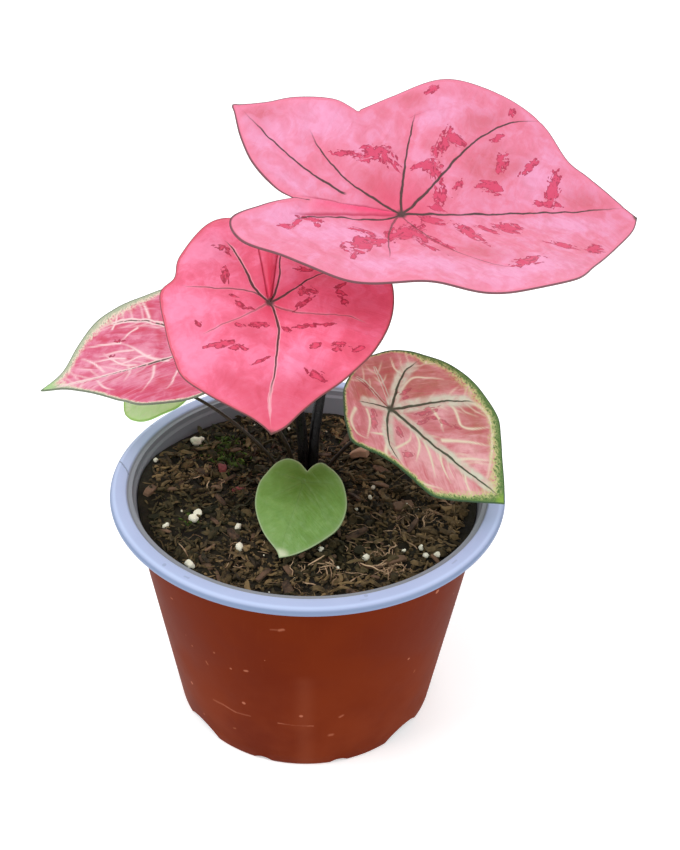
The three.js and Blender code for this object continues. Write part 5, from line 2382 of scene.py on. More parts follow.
SHELL_MARKS = marks(
    (-48.3, -42.0, 74.7, -47.6, -42.8, 74.9, 0.5), (-7.6, -64.6, 81.2, -6.2, -64.8, 81.8, 0.8),
    (-10.5, -64.2, 81.0, -8.6, -64.5, 81.3, 0.5, 0.3),
    (-41.2, -44.7, 53.8, -41.0, -44.9, 54.2, 0.45, 0.5),
    (-32.1, -52.4, 58.0, -32.0, -52.5, 58.3, 0.5),
    (-35.6, -48.4, 49.8, -35.2, -48.8, 48.5, 0.5, 0.5),
    (-20.6, -57.3, 54.3, -19.6, -57.7, 54.6, 0.65, 0.8),
    (14.6, -55.2, 29.9, 15.6, -55.0, 30.5, 0.7, 0.5),
    (11.0, -54.3, 19.0, 11.8, -54.1, 19.1, 1.0, 0.5),
    (42.3, -40.6, 39.8, 42.5, -40.4, 40.6, 0.5, 0.4),
    (-26.2, -48.1, 14.6, -25.6, -48.4, 14.8, 0.5, 0.5),
    (-39.1, -37.4, 10.5, -38.8, -37.7, 10.8, 0.6, 0.5),
    # The next four rows paint the highlight of a small ledge round the shell, which is not
    # modelled: a bright line in front and a faint arc to its left.
    (-8.6, -55.9, 26.4, 4.6, -56.3, 25.8, 0.42, 0.6),
    (-33.8, -45.4, 26.7, -30.0, -48.2, 27.2, 0.7, 0.35),
    (-30.0, -48.2, 27.2, -25.0, -50.8, 26.0, 0.55, 0.5),
    (-25.0, -50.8, 26.0, -19.4, -53.2, 26.9, 0.5, 0.3),
    (8.0, -56.7, 34.0, 20.0, -53.6, 34.6, 0.5, 0.18),
    (-7.0, -61.2, 63.5, -3.5, -61.5, 63.0, 0.6, 0.2),
    (28.0, -50.6, 37.6, 37.0, -44.8, 38.4, 0.45, 0.2),
    (60.6, 5.0, 55.0, 60.2, 7.4, 51.0, 0.5, 0.4), (20.0, 57.5, 60.0, 26.0, 55.0, 58.0, 0.5, 0.4),
    (-30.0, 53.0, 40.0, -26.0, 55.0, 41.0, 0.5, 0.4))

# Two broad, faint vertical stripes down the front of the shell: painted sheen.
SHEEN_STRIPE_MARKS = marks(
    (1.2, -60.5, 52.0, 1.8, -53.0, 1.5, 4.4, 0.07), (0.4, -56.5, 26.0, 0.4, -53.0, 2.0, 3.0, 0.06))

LINING_MARKS = marks(
    (-74.4, 9.6, 98.6, -73.6, 8.5, 99.2, 0.3, 0.7),
    (-73.6, 8.5, 99.2, -72.3, 6.4, 99.7, 0.35, 0.85),
    (-72.3, 6.4, 99.7, -69.6, 1.5, 99.9, 0.4, 0.85),
    (-69.6, 1.5, 99.9, -68.7, -0.4, 99.5, 0.4, 0.7),
    (-40.0, -59.5, 100.0, -38.5, -60.2, 100.0, 0.5, 0.35),
    (20.0, -69.0, 100.0, 22.5, -68.2, 100.0, 0.3, 0.3),
    (52.0, -48.5, 100.0, 53.5, -46.5, 100.0, 0.4, 0.3),
    (-12.0, 70.0, 100.0, -10.0, 70.8, 100.0, 0.4, 0.35))

TERRACOTTA = PlasticFinish(
    base=rgb(100, 29, 2), pale=rgb(122, 48, 18), low=rgb(119, 46, 18), mark=rgb(196, 122, 94),
    marks=SHELL_MARKS + SHEEN_STRIPE_MARKS, roughness=0.55, dust=0.6, shine=0.05,
    tint=rgb(255, 190, 140))

# Its inside and skirt colours are painted shade, and its crest line is a painted highlight.
BLUE_GREY = PlasticFinish(
    base=rgb(172, 188, 222), pale=rgb(184, 200, 232), low=rgb(84, 90, 106),
    mark=rgb(88, 96, 116), marks=LINING_MARKS, roughness=0.36, dust=0.25, shine=0.22,
    inside=rgb(134, 140, 147), skirt=rgb(126, 143, 175))


@dataclass
class Pot:
    """The two-colour nursery pot: a brown shell and the blue-grey lining that forms the rim.

    Attributes:
        effects: The shared effects.
        sides: Faces round the pot.
        floor: Thickness of the floor.
        foot_edge: Bevel round the foot.
        channel_height: Height of the raised drain ring.
        channel_inner: Its inner radius.
        channel_outer: Its outer radius.
        channel_slope: Run of its sloping sides.
        drain_holes: Number of drain holes.
        drain_radius: Their radius.
        drain_cutter: Length and middle height of the shapes that cut them.
        notches: Number of notches in the foot.
        small_notch: Width and height of every other notch.
        large_notch: Width and height of the others.
        notch_cutter: Length of the shapes that cut them.
        notch_inset: How far inside the foot those stand.
        cutter_sides: Faces round a drain cutter and round a notch cutter.
        foot: The rounded foot of the shell, as insets and heights.
        lip: How far the shell's upper edges are rounded.
        skirt: The rim's edge, from its lowest ring up, as insets and depths.
        throat: Where the rim turns down into the pot, as widths over the inner wall and depths.
        crisp: Angle above which edges stay crisp, in degrees.
    """

    effects: Effects
    sides: int = 176
    floor: float = 1.2
    foot_edge: float = 1.0
    channel_height: float = 3.0
    channel_inner: float = 26.0
    channel_outer: float = 43.0
    channel_slope: float = 2.5
    drain_holes: int = 8
    drain_radius: float = 4.0
    drain_cutter: Pair = (10.0, 3.0)
    notches: int = 11
    small_notch: Pair = (8.0, 2.0)
    large_notch: Pair = (20.0, 5.0)
    notch_cutter: float = 12.0
    notch_inset: float = 1.0
    cutter_sides: tuple[int, int] = (32, 96)
    foot: tuple[Pair, ...] = ((0.45, 0.12), (0.12, 0.45))
    lip: float = 0.15
    skirt: tuple[Pair, ...] = (
        (1.3, 1.35), (1.12, 1.7), (1.02, 2.85), (0.8, 3.0), (0.35, 3.0), (0.12, 2.85),
        (0.0, 2.25), (0.05, 1.85), (0.2, 1.45), (0.5, 1.08), (0.95, 0.78), (1.6, 0.5),
        (2.4, 0.25), (3.2, 0.09), (4.0, 0.01), (4.8, 0.0), (5.4, 0.05), (5.9, 0.18))
    throat: tuple[Pair, ...] = (
        (2.9, 0.32), (2.65, 0.55), (2.3, 0.95), (1.8, 1.55), (1.1, 2.45), (0.38, 3.55))
    crisp: float = 34.0

    def shell(self) -> bpy.types.Object:
        """The brown shell, with its drain holes and scalloped foot.

        Returns:
            The shell.
        """
        top = self.floor + self.channel_height
        heights = np.linspace(6, SHELL_TOP - 0.3, 24)
        up = [(shell_radius(h), float(h)) for h in heights]
        down = [(shell_inner(h), float(h)) for h in np.linspace(SHELL_TOP - 0.25, 4, 8)]
        profile = [
            (self.channel_inner - self.channel_slope, 0),
            (self.channel_inner, self.channel_height), (self.channel_outer, self.channel_height),
            (self.channel_outer + self.channel_slope, 0), (BASE_RADIUS - self.foot_edge, 0),
            *((BASE_RADIUS - inset, height) for inset, height in self.foot),
            (shell_radius(self.foot_edge), self.foot_edge),
            *up, (shell_radius(SHELL_TOP) - self.lip, SHELL_TOP),
            (shell_inner(SHELL_TOP) + self.lip, SHELL_TOP), *down,
            (shell_inner(self.floor + self.foot_edge), self.floor + self.foot_edge),
            (shell_inner(self.floor) - self.foot_edge, self.floor),
            (self.channel_outer + SHELL_WALL + self.channel_slope, self.floor),
            (self.channel_outer + SHELL_WALL, top), (self.channel_inner - SHELL_WALL, top),
            (self.channel_inner - SHELL_WALL - self.channel_slope, self.floor)]
        piece = turned("pot_shell_body", profile, self.sides, closed=False)
        cut(piece, self._drains() + self._notches())
        return piece

    def _drains(self) -> list[bpy.types.Object]:
        """Cutters for the drain holes.

        Returns:
            The cutters.
        """
        made = []
        reach = (self.channel_inner + self.channel_outer) / 2
        depth, height = self.drain_cutter
        for index in range(self.drain_holes):
            turn = (index + 0.5) * 2 * math.pi / self.drain_holes
            deselect()
            bpy.ops.mesh.primitive_cylinder_add(
                vertices=self.cutter_sides[0], radius=self.drain_radius * MM, depth=depth * MM,
                location=metres(reach * math.cos(turn), reach * math.sin(turn), height))
            made.append(bpy.context.object)
        return made

    def _notches(self) -> list[bpy.types.Object]:
        """Cutters for the notches in the foot.

        Returns:
            The cutters.
        """
        made = []
        for index in range(self.notches):
            width, height = self.large_notch if index % 2 else self.small_notch
            radius = (height ** 2 + (width / 2) ** 2) / (2 * height)
            turn = math.radians(-90 + (index + 0.5) * 360 / self.notches)
            reach = BASE_RADIUS - self.notch_inset
            deselect()
            bpy.ops.mesh.primitive_cylinder_add(
                vertices=self.cutter_sides[1], radius=radius * MM, depth=self.notch_cutter * MM,
                location=metres(reach * math.cos(turn), reach * math.sin(turn), height - radius),
                rotation=(math.pi / 2, 0, turn + math.pi / 2))
            made.append(bpy.context.object)
        return made

    def lining(self) -> bpy.types.Object:
        """The blue-grey lining, folded out into the rim.

        Returns:
            The lining.
        """
        outer = [(lining_outer(h), float(h)) for h in np.linspace(SOIL_BOTTOM, 98.9, 10)]
        skirt = [(RIM_RADIUS - inset, POT_HEIGHT - depth) for inset, depth in self.skirt]
        throat = [(lining_inner(POT_HEIGHT - depth) + out, POT_HEIGHT - depth)
                  for out, depth in self.throat]
        inner = [(lining_inner(h), float(h)) for h in np.linspace(96, SOIL_BOTTOM, 10)]
        profile = [*outer, *skirt, *throat, *inner, outer[0]]
        return turned("pot_lining_wall", profile, self.sides, closed=True)

    def build(self) -> list[bpy.types.Object]:
        """Builds both parts of the pot and lets them stand for their CAD nodes.

        Returns:
            The shell and the lining.
        """
        stroke = stroke_effect()
        shell, lining = self.shell(), self.lining()
        for piece, finish, name in ((shell, TERRACOTTA, "terracotta_plastic"),
                                    (lining, BLUE_GREY, "blue_grey_plastic")):
            piece.data.materials.append(finish.build(name, self.effects, stroke))
            smooth_by_angle(piece, self.crisp)
        return [take_over(shell, "pot_shell", "pot_shell"),
                take_over(lining, "pot_lining", "pot_lining")]


# ---------------------------------------------------------------- soil


@dataclass(frozen=True)
class GrainFinish:
    """Earth, bark, fibre or stone: tones that mix over a rough surface.

    Attributes:
        dark: The darkest tone.
        middle: The tone between.
        light: The lightest tone.
        scale: How fine the mixture is.
        roughness: Its roughness.
        relief: Height of its relief.
        drift: A tone that shows in broad patches, if any.
        bright_side: Where, from left to right, the lighter side of the pot begins and ends.
    """

    dark: Colour
    middle: Colour
    light: Colour
    scale: float
    roughness: float = 0.85
    relief: float = 0.4
    drift: Colour | None = None
    bright_side: Pair = (5.0, 55.0)

    def build(self, name: str, effects: Effects) -> bpy.types.Material:
        """Builds the material, each loose piece with a tone of its own.

        Args:
            name: Its name.
            effects: The shared effects.

        Returns:
            The material.
        """
        material, tree, shader = new_finish(name)
        place = tree.object_place()
        mottle = effects.mottle.place(tree, Place=place, Broad=self.scale, Fine=self.scale * 9)
        body = tree.mix(mottle["Fine"], self.dark, self.middle)
        body = tree.mix(tree.math("MULTIPLY", mottle["Broad"], 0.6), body, self.light)
        own = tree.attribute("tone")
        body = tree.mix(tree.ramp(own, 0.55, 1.0, 0.0, 0.8), body, self.light)
        if self.drift:
            body = tree.mix(tree.ramp(own, 0.0, 0.45, 0.85, 0.0), body, self.dark)
            olive = tree.ramp(tree.noise(place, 34.0, 2.0, 0.5), 0.4, 0.6, 0.0, 0.6)
            body = tree.mix(olive, body, self.drift)
            side = tree.ramp(tree.split(place)[0], *metres(*self.bright_side), 0.0, 0.22)
            body = tree.mix(side, body, self.light)
        rough = tree.ramp(mottle["Fine"], 0.0, 1.0, self.roughness - 0.12, self.roughness + 0.1)
        dress(tree, shader, body, rough, mottle["Height"], self.relief, 0.8, shine=0.25)
        return material


PEAT = GrainFinish(rgb(10, 8, 5), rgb(26, 22, 13), rgb(46, 42, 24), 150.0)
CRUMB = GrainFinish(rgb(12, 10, 6), rgb(46, 38, 24), rgb(110, 92, 60), 420.0,
                    drift=rgb(34, 38, 18))
SHRED = GrainFinish(rgb(14, 11, 7), rgb(57, 47, 28), rgb(146, 122, 82), 420.0, 0.7,
                    drift=rgb(47, 49, 23))
BARK = GrainFinish(rgb(26, 20, 14), rgb(60, 46, 34), rgb(122, 96, 74), 300.0, 0.75)
COIR = GrainFinish(rgb(72, 56, 38), rgb(116, 92, 64), rgb(176, 146, 112), 500.0, 0.7, 0.1)
STRAW = GrainFinish(rgb(84, 60, 42), rgb(142, 112, 86), rgb(220, 190, 152), 500.0, 0.7, 0.1)
PERLITE = GrainFinish(rgb(206, 206, 164), rgb(236, 238, 206), rgb(252, 252, 236), 700.0, 0.8)
MOSS = GrainFinish(rgb(24, 36, 12), rgb(46, 66, 20), rgb(86, 112, 40), 500.0, 0.8, 0.2)
TAN_CHIP = GrainFinish(rgb(112, 82, 62), rgb(152, 116, 92), rgb(186, 150, 122), 260.0, 0.7)
RED_CHIP = GrainFinish(rgb(92, 36, 40), rgb(128, 56, 58), rgb(150, 84, 78), 260.0, 0.7)


@dataclass(frozen=True)
class Spot:
    """Where one loose piece lies.

    Attributes:
        x: Its place from left to right.
        y: Its place from front to back.
        size: Its length.
        turn: Its bearing, in degrees.
        tilt: How far it leans, in degrees.
        rise: Its height over the bed.
        tone: Its own tone, 0 to 1.
        stretch: Its proportions against its model's.
    """

    x: float
    y: float
    size: float
    turn: float
    tilt: float
    rise: float
    tone: float
    stretch: Triple = (1.0, 1.0, 1.0)


@dataclass(frozen=True)
class Scatter:
    """How one kind of loose piece is drawn over the bed.

    Attributes:
        count: How many there are.
        sizes: Smallest and largest size.
        seed: Start of the draw.
        skew: How much small sizes prevail.
        stretch: Mean shape.
        spread: How much each axis varies.
        sink: Share of the size that lies in the bed.
    """

    count: int
    sizes: Pair
    seed: int
    skew: float
    stretch: Triple
    spread: Triple
    sink: float = 0.1


@dataclass
class Soil:
    """The potting mix: an uneven bed with loose crumbs, bark, fibres, perlite and moss on it.

    Attributes:
        effects: The shared effects.
        level: The bed's height at the wall.
        mound: How much higher it stands round the crown.
        mound_radius: How wide that mound is.
        heaps: Its other heaps, as height, middle and half widths.
        swell: Height of its long swells.
        swell_size: How long they are across and away.
        swell_shift: Where they start.
        clods: Its lumps, as height, layer of the noise, size, finer layers and seed.
        calm: Radius beyond which the lumps shrink, how fast, and the share that is left.
        spokes: Faces round the bed.
        rings: Faces from the middle to the wall.
        wall_rings: Faces down its side.
        wall_level: Least height at which the top meets the wall.
        wall_drop: How far below the top the wall's radius is taken.
        shoulder: Height at which its side begins.
        gap: Gap between the bed and the lining.
        loose_level: Least height for the radius that loose pieces keep to.
        loose_drop: How far below a point that radius is taken.
        loose_gap: Gap that they keep to the lining.
        bare: Radius round the stalks where nothing is strewn.
        edge: Radius beyond which nothing is strewn.
        crumbs: The crumbs.
        shreds: The shreds of bark and peat.
        grit: The small grains.
        chips: The bark chips.
        large_chip: The bark chip that stands out.
        fibres: The coir fibres.
        straw: Heaps of straw, as middle, width and number.
        perlite: Places and sizes of the perlite grains that stand out.
        small_perlite: The others.
        moss_patches: Patches of moss, as middle, number of tufts and width.
        tan_chips: The pale chip.
        red_chips: The reddish chips.
        seed: Start of the random scatter.
        crisp: Angles above which edges of the bed and of loose pieces stay crisp, in degrees.
        chip_block: Length, width and height of the block that a bark chip starts from.
        chip_rough: How rough it is, and the share of that along its faces' normals.
        chip_taper: How much narrower its ends are.
        chip_bow: How much it is bent.
        chip_edges: Width of its bevels, and the angle above which edges have one, in degrees.
    """

    effects: Effects
    level: float = 89.0
    mound: float = 3.0
    mound_radius: float = 30.0
    heaps: tuple[tuple[float, ...], ...] = (
        (2.4, -44, 32, 26, 26), (3.0, 62, -6, 22, 34), (5.4, -68, 2, 18, 34))
    swell: float = 0.9
    swell_size: Pair = (11.0, 13.0)
    swell_shift: Pair = (1.0, -0.4)
    clods: tuple[tuple[float, float, float, int, float], ...] = (
        (1.2, 0, 9.0, 2, 3.0), (1.1, 5, 3.6, 3, 8.0))
    calm: Triple = (64.0, 4.0, 0.25)
    spokes: int = 300
    rings: int = 84
    wall_rings: int = 6
    wall_level: float = 86.0
    wall_drop: float = 2.0
    shoulder: float = 84.0
    gap: float = 0.12
    loose_level: float = 88.0
    loose_drop: float = 1.0
    loose_gap: float = 0.3
    bare: float = 5.5
    edge: float = 61.5
    crumbs: Scatter = Scatter(1000, (0.9, 4.8), 1, 2.6, (1.35, 0.7, 0.5), (0.35, 0.3, 0.25))
    shreds: Scatter = Scatter(2000, (1.6, 6.4), 5, 1.7, (1.0, 1.1, 1.3), (0.1, 0.5, 0.4), -0.04)
    grit: Scatter = Scatter(2600, (0.5, 2.2), 6, 1.5, (1.1, 0.85, 0.8), (0.3, 0.3, 0.2), -0.1)
    chips: Scatter = Scatter(90, (3.0, 9.5), 2, 1.5, (1.0, 0.85, 0.8), (0.15, 0.35, 0.3))
    large_chip: Spot = Spot(36.5, -3.0, 8.0, 20, 8, 1.0, 0.85, (1, 1.7, 1.0))
    fibres: Scatter = Scatter(150, (4.0, 10.0), 3, 1.4, (1.0, 0.8, 0.9), (0.0, 0.5, 0.2), 0.26)
    straw: tuple[tuple[float, float, float, int], ...] = (
        (2.0, -42.0, 8.0, 14), (12.0, -43.0, 10.0, 16), (31.0, -40.5, 8.0, 26),
        (27.0, -34.0, 9.0, 16), (46.0, -8.0, 10.0, 16), (20.0, -23.0, 9.0, 8),
        (36.0, -18.0, 12.0, 12), (-28.0, -36.0, 14.0, 8), (-40.0, 8.0, 16.0, 5))
    perlite: tuple[Triple, ...] = (
        (-47.0, 31.9, 4.0), (-45.2, 34.2, 2.6), (-60.9, 15.1, 2.1), (-42.2, -16.6, 3.8),
        (-41.1, -13.2, 3.0), (-52.1, -21.3, 2.4), (-25.4, -20.6, 2.7), (-23.6, -32.9, 3.2),
        (-40.5, -43.3, 3.2), (5.8, -31.8, 2.2), (22.2, -35.8, 2.7), (42.2, -31.2, 2.4),
        (43.9, -34.5, 2.3), (47.9, -34.7, 2.4), (36.0, -31.0, 1.6), (25.0, 7.2, 1.8),
        (23.8, -1.8, 1.7), (4.5, -11.9, 1.4), (18.5, -8.5, 1.3), (38.0, -2.0, 1.3),
        (-10.0, 48.0, 1.6), (30.0, 46.0, 1.8), (12.0, -40.0, 1.3))
    small_perlite: Scatter = Scatter(46, (0.45, 1.1), 4, 1.6, (1, 0.9, 0.8), (0.2, 0.2, 0.2), 0.0)
    moss_patches: tuple[tuple[float, float, int, float], ...] = (
        (-35.0, 31.0, 110, 8.0), (-31.0, 23.0, 60, 6.0), (22.0, 45.0, 50, 9.0),
        (-44.0, -15.0, 16, 3.0))
    tan_chips: tuple[Spot, ...] = (Spot(19.5, 28.6, 7.6, 165, 14, 1.6, 0.9, (1, 2.0, 2.0)),)
    red_chips: tuple[Spot, ...] = (Spot(-34.9, 16.6, 6.0, 100, 10, 0.8, 0.6, (1, 1.5, 1.1)),
                                   Spot(-27.5, 4.0, 5.0, 20, -8, 0.6, 0.2, (1, 1.4, 1.0)))
    seed: int = 11
    crisp: Pair = (60.0, 40.0)
    chip_block: Triple = (1.0, 0.42, 0.2)
    chip_rough: Pair = (0.16, 0.2)
    chip_taper: float = 0.45
    chip_bow: float = 0.1
    chip_edges: Pair = (0.03, 50.0)

    def height(self, x: float, y: float) -> float:
        """The bed's main height at a place.

        Args:
            x: The place from left to right.
            y: The place from front to back.

        Returns:
            The height.
        """
        heap = 0.0
        for rise, east, north, wide, deep in self.heaps:
            heap += rise * math.exp(-((x - east) / wide) ** 2 - ((y - north) / deep) ** 2)
        swell = [place / size + shift for place, size, shift
                 in zip((x, y), self.swell_size, self.swell_shift)]
        reach = math.hypot(x, y)
        return (self.level + heap + self.mound * math.exp(-(reach / self.mound_radius) ** 2)
                + self.swell * math.sin(swell[0]) * math.cos(swell[1]))

    def surface(self, x: float, y: float) -> float:
        """The bed's height with its clods, as it is seen.

        Args:
            x: The place from left to right.
            y: The place from front to back.

        Returns:
            The height.
        """
        clods = sum(rise * lumps((x, y, layer), size, octaves, seed)
                    for rise, layer, size, octaves, seed in self.clods)
        radius, length, least = self.calm
        ease = min(1.0, max(least, (radius - math.hypot(x, y)) / length))
        return self.height(x, y) + clods * ease

    def side(self, height: float) -> float:
        """The bed's radius at a height, just inside the lining."""
        return lining_inner(height) - self.gap

    def bed(self) -> bpy.types.Object:
        """The bed, closed down its side and across its bottom.

        Returns:
            The bed.
        """
        foot = self.rings + self.wall_rings
        last = foot + 2

        def spot(turn: float, step: int) -> Triple:
            """A place on the top, down the side or back to the middle below.

            Args:
                turn: Its bearing, in radians.
                step: Its ring.

            Returns:
                The place.
            """
            cosine, sine = math.cos(turn), math.sin(turn)
            if step <= self.rings:
                wall_at = self.side(self.wall_level)
                high = self.height(wall_at * cosine, wall_at * sine)
                reach = self.side(max(high - self.wall_drop, self.wall_level))
                reach *= (step / self.rings) ** 0.8
                x, y = reach * cosine, reach * sine
                return x, y, self.surface(x, y)
            down = min(step - self.rings, self.wall_rings) / self.wall_rings
            high = self.shoulder * (1 - down) + SOIL_BOTTOM * down
            reach = self.side(high)
            if step > foot:
                reach *= 0.5 * (last - step)
            return reach * cosine, reach * sine, high

        def place(round_: np.ndarray, out: np.ndarray) -> np.ndarray:
            """Places on the bed, ring by ring.

            Args:
                round_: Shares of the way round.
                out: Shares of the way outwards.

            Returns:
                The places in metres, one row each.
            """
            steps = np.rint(out * last).astype(int)
            return np.array([spot(-share * 2 * math.pi, step)
                             for share, step in zip(round_, steps)]) * MM

        piece = shaped_grid("soil_bed", self.spokes, last, place)
        outward(piece, 0.002)
        piece.data.materials.append(PEAT.build("dark_peat", self.effects))
        smooth_by_angle(piece, self.crisp[0])
        return take_over(piece, "soil", "soil")

    def scatter(self, kind: Scatter) -> list[Spot]:
        """Draws places for loose pieces.

        Args:
            kind: How they are drawn.

        Returns:
            The places.
        """
        draw = random.Random(self.seed * 1000 + kind.seed)
        smallest, largest = kind.sizes
        spots = []
        while len(spots) < kind.count:
            reach, turn = self.edge * math.sqrt(draw.random()), draw.uniform(0, 2 * math.pi)
            if reach < self.bare:
                continue
            size = smallest + (largest - smallest) * draw.random() ** kind.skew
            shape = tuple(mean * (1 + draw.uniform(-vary, vary))
                          for mean, vary in zip(kind.stretch, kind.spread))
            spots.append(Spot(
                reach * math.cos(turn), reach * math.sin(turn), size, draw.uniform(0, 360),
                draw.gauss(0, 18), size * (0.3 - kind.sink) * draw.uniform(0.2, 1.2),
                draw.random(), shape))
        return spots

    def strew(self, name: str, models: Sequence[bpy.types.Object], spots: Sequence[Spot],
              finish: GrainFinish) -> bpy.types.Object:
        """Copies models to places, each with its own mesh, and joins them.

        Args:
            name: Name of the joined piece.
            models: The modelled pieces, one unit long, at the origin.
            spots: Where the copies go.
            finish: Their finish.

        Returns:
            The joined piece.
        """
        copies = []
        for index, spot in enumerate(spots):
            mesh = models[index % len(models)].data.copy()
            tone = mesh.attributes.new("tone", "FLOAT", "POINT")
            tone.data.foreach_set("value", [spot.tone] * len(mesh.vertices))
            size = spot.size * MM
            scale = Matrix.Diagonal((*(size * s for s in spot.stretch), 1))
            lean = Euler((math.radians(spot.tilt), math.radians(spot.tilt * 0.6),
                          math.radians(spot.turn)), "XYZ").to_matrix().to_4x4()
            at = (spot.x * MM, spot.y * MM, (self.surface(spot.x, spot.y) + spot.rise) * MM)
            mesh.transform(Matrix.Translation(at) @ lean @ scale)
            copy = bpy.data.objects.new(name, mesh)
            bpy.context.scene.collection.objects.link(copy)
            copies.append(copy)
        choose(copies[0])
        for copy in copies[1:]:
            copy.select_set(True)
        bpy.ops.object.join()
        piece = bpy.context.object
        piece.name = name
        for model in models:
            bpy.data.objects.remove(model)
        self._keep_inside(piece)
        piece.data.materials.clear()
        piece.data.materials.append(finish.build(f"{name}_finish", self.effects))
        smooth_by_angle(piece, self.crisp[1])
        return take_over(piece, "soil")

    def _keep_inside(self, piece: bpy.types.Object) -> None:
        """Pulls points that reach past the lining back inside it.

        Args:
            piece: The piece.
        """
        places = points_of(piece) / MM
        reach = np.hypot(places[:, 0], places[:, 1])
        heights = np.maximum(places[:, 2] - self.loose_drop, self.loose_level)
        limit = lining_inner(heights) - self.loose_gap
        pull = np.minimum(1.0, limit / np.maximum(reach, 1e-6))
        places[:, :2] *= pull[:, None]
        move_points(piece, places * MM)

    def lump_model(self, name: str, rough: float, seed: float,
                   detail: int = 8) -> bpy.types.Object:
        """One uneven lump, a unit across.

        Args:
            name: Its name.
            rough: How uneven it is.
            seed: Shifts its form.
            detail: Faces round the ball it starts from.

        Returns:
            The model.
        """
        deselect()
        bpy.ops.mesh.primitive_uv_sphere_add(segments=detail, ring_count=detail * 5 // 8,
                                             radius=0.5)
        piece = bpy.context.object
        piece.name = name
        places = points_of(piece)
        shift = np.array([lumps(p * 6, 3.0, 2, seed) for p in places])
        move_points(piece, places * (1 + rough * shift)[:, None])
        return piece

    def chip_model(self, name: str, seed: int) -> bpy.types.Object:
        """One bark chip: a block split across, tapered, bevelled and roughened.

        Args:
            name: Its name.
            seed: Start of its random form.

        Returns:
            The model.
        """
        draw = random.Random(seed)
        deselect()
        bpy.ops.mesh.primitive_cube_add(size=1)
        piece = bpy.context.object
        piece.name = name
        bpy.ops.object.mode_set(mode="EDIT")
        bpy.ops.mesh.select_all(action="SELECT")
        bpy.ops.transform.resize(value=self.chip_block, center_override=(0, 0, 0))
        rough, outwards = self.chip_rough
        bpy.ops.mesh.subdivide(number_cuts=2, fractal=rough, fractal_along_normal=outwards,
                               seed=seed)
        bpy.ops.object.mode_set(mode="OBJECT")
        places = points_of(piece)
        taper = 1 - self.chip_taper * np.abs(places[:, 0]) * 2 * draw.uniform(0.6, 1.0)
        places[:, 1] *= taper
        places[:, 2] += self.chip_bow * np.sin(places[:, 0] * 3 + seed)
        move_points(piece, places)
        width, angle = self.chip_edges
        edges = piece.modifiers.new("edges", "BEVEL")
        edges.width = width
        edges.segments = 1
        edges.limit_method = "ANGLE"
        edges.angle_limit = math.radians(angle)
        apply_modifiers(piece)
        return piece

    def fibre_model(self, name: str, seed: int, stout: float = 1.0) -> bpy.types.Object:
        """One bent fibre, a unit long and thin; a stout one is thicker and straighter.

        Args:
            name: Its name.
            seed: Start of its random form.
            stout: How stout it is.

        Returns:
            The model.
        """
        draw = random.Random(seed)
        bend, sway = draw.uniform(0.1, 0.42) / stout, draw.uniform(-0.12, 0.12) / stout
        dip = draw.uniform(0.0, 0.1)

        def place(round_: np.ndarray, along: np.ndarray) -> np.ndarray:
            """Places on the fibre.

            Args:
                round_: Shares of the way round.
                along: Shares of the way along.

            Returns:
                The places, one row each.
            """
            share = along * 2 - 1
            turn = round_ * 2 * math.pi
            thick = stout * 0.013 * (1 - 0.5 * np.abs(share)) + 0.003
            return np.column_stack([
                share * 0.5, bend * share ** 2 * 0.5 + sway * np.sin(share * 5)
                + thick * np.cos(turn), 0.06 - dip * share ** 2 + thick * np.sin(turn)])

        piece = shaped_grid(name, 4, 11, place)
        close_ends(piece, weld=0.2)
        return piece

    def shred_model(self, name: str, seed: int) -> bpy.types.Object:
        """One fibrous shred, a unit long: a bent, twisted sliver with ragged ends.

        Args:
            name: Its name.
            seed: Start of its random form.

        Returns:
            The model.
        """
        draw = random.Random(seed)
        bend, twist = draw.uniform(-0.16, 0.16), draw.uniform(-0.7, 0.7)
        wide, deep = draw.uniform(0.06, 0.14), draw.uniform(0.04, 0.07)

        def place(round_: np.ndarray, along: np.ndarray) -> np.ndarray:
            """Places on the shred.

            Args:
                round_: Shares of the way round.
                along: Shares of the way along.

            Returns:
                The places, one row each.
            """
            share = along * 2 - 1
            turn = round_ * 2 * math.pi
            body = np.sqrt(np.maximum(0.16, 1 - np.abs(share) ** 7))
            split = 1 + 0.28 * np.cos(3 * turn + seed + 2 * share)
            across = wide * body * split * np.cos(turn)
            up = deep * body * split * np.sin(turn)
            lean = twist * share
            return np.column_stack([
                share * 0.5 + 0.06 * np.cos(turn * 2 + seed) * np.abs(share) ** 3,
                across * np.cos(lean) - up * np.sin(lean) + bend * share ** 2,
                across * np.sin(lean) + up * np.cos(lean) + 0.06 * np.sin(share * 3 + seed)])

        piece = shaped_grid(name, 7, 5, place)
        outward(piece, 0.002)
        close_ends(piece)
        return piece

    def lump_models(self, stem: str, count: int, rough: float, seeds: Pair,
                    detail: int = 8) -> list[bpy.types.Object]:
        """Several lumps of one kind.

        Args:
            stem: What their names begin with.
            count: How many.
            rough: How uneven they are.
            seeds: The first one's seed and the step to the next.
            detail: Faces round the ball they start from.

        Returns:
            The models.
        """
        first, step = seeds
        return [self.lump_model(f"{stem}_model_{index}", rough, index * step + first, detail)
                for index in range(count)]

    def crumb_piece(self) -> bpy.types.Object:
        """Crumbs of peat."""
        models = self.lump_models("crumb", 4, 0.85, (0, 3.1))
        return self.strew("soil_crumbs", models, self.scatter(self.crumbs), CRUMB)

    def shred_piece(self) -> bpy.types.Object:
        """Shreds of bark and peat."""
        models = [self.shred_model(f"shred_model_{index}", index + 3) for index in range(6)]
        return self.strew("soil_shreds", models, self.scatter(self.shreds), SHRED)

    def grit_piece(self) -> bpy.types.Object:
        """Small grains between them."""
        models = self.lump_models("grit", 4, 0.5, (0, 4.3), 6)
        return self.strew("soil_grit", models, self.scatter(self.grit), SHRED)

    def chip_piece(self) -> bpy.types.Object:
        """Bark chips.

        Returns:
            The chips, as one piece.
        """
        spots = [self.large_chip, *self.scatter(self.chips)]
        models = [self.chip_model(f"chip_model_{index}", index + 5) for index in range(4)]
        return self.strew("bark_chips", models, spots, BARK)

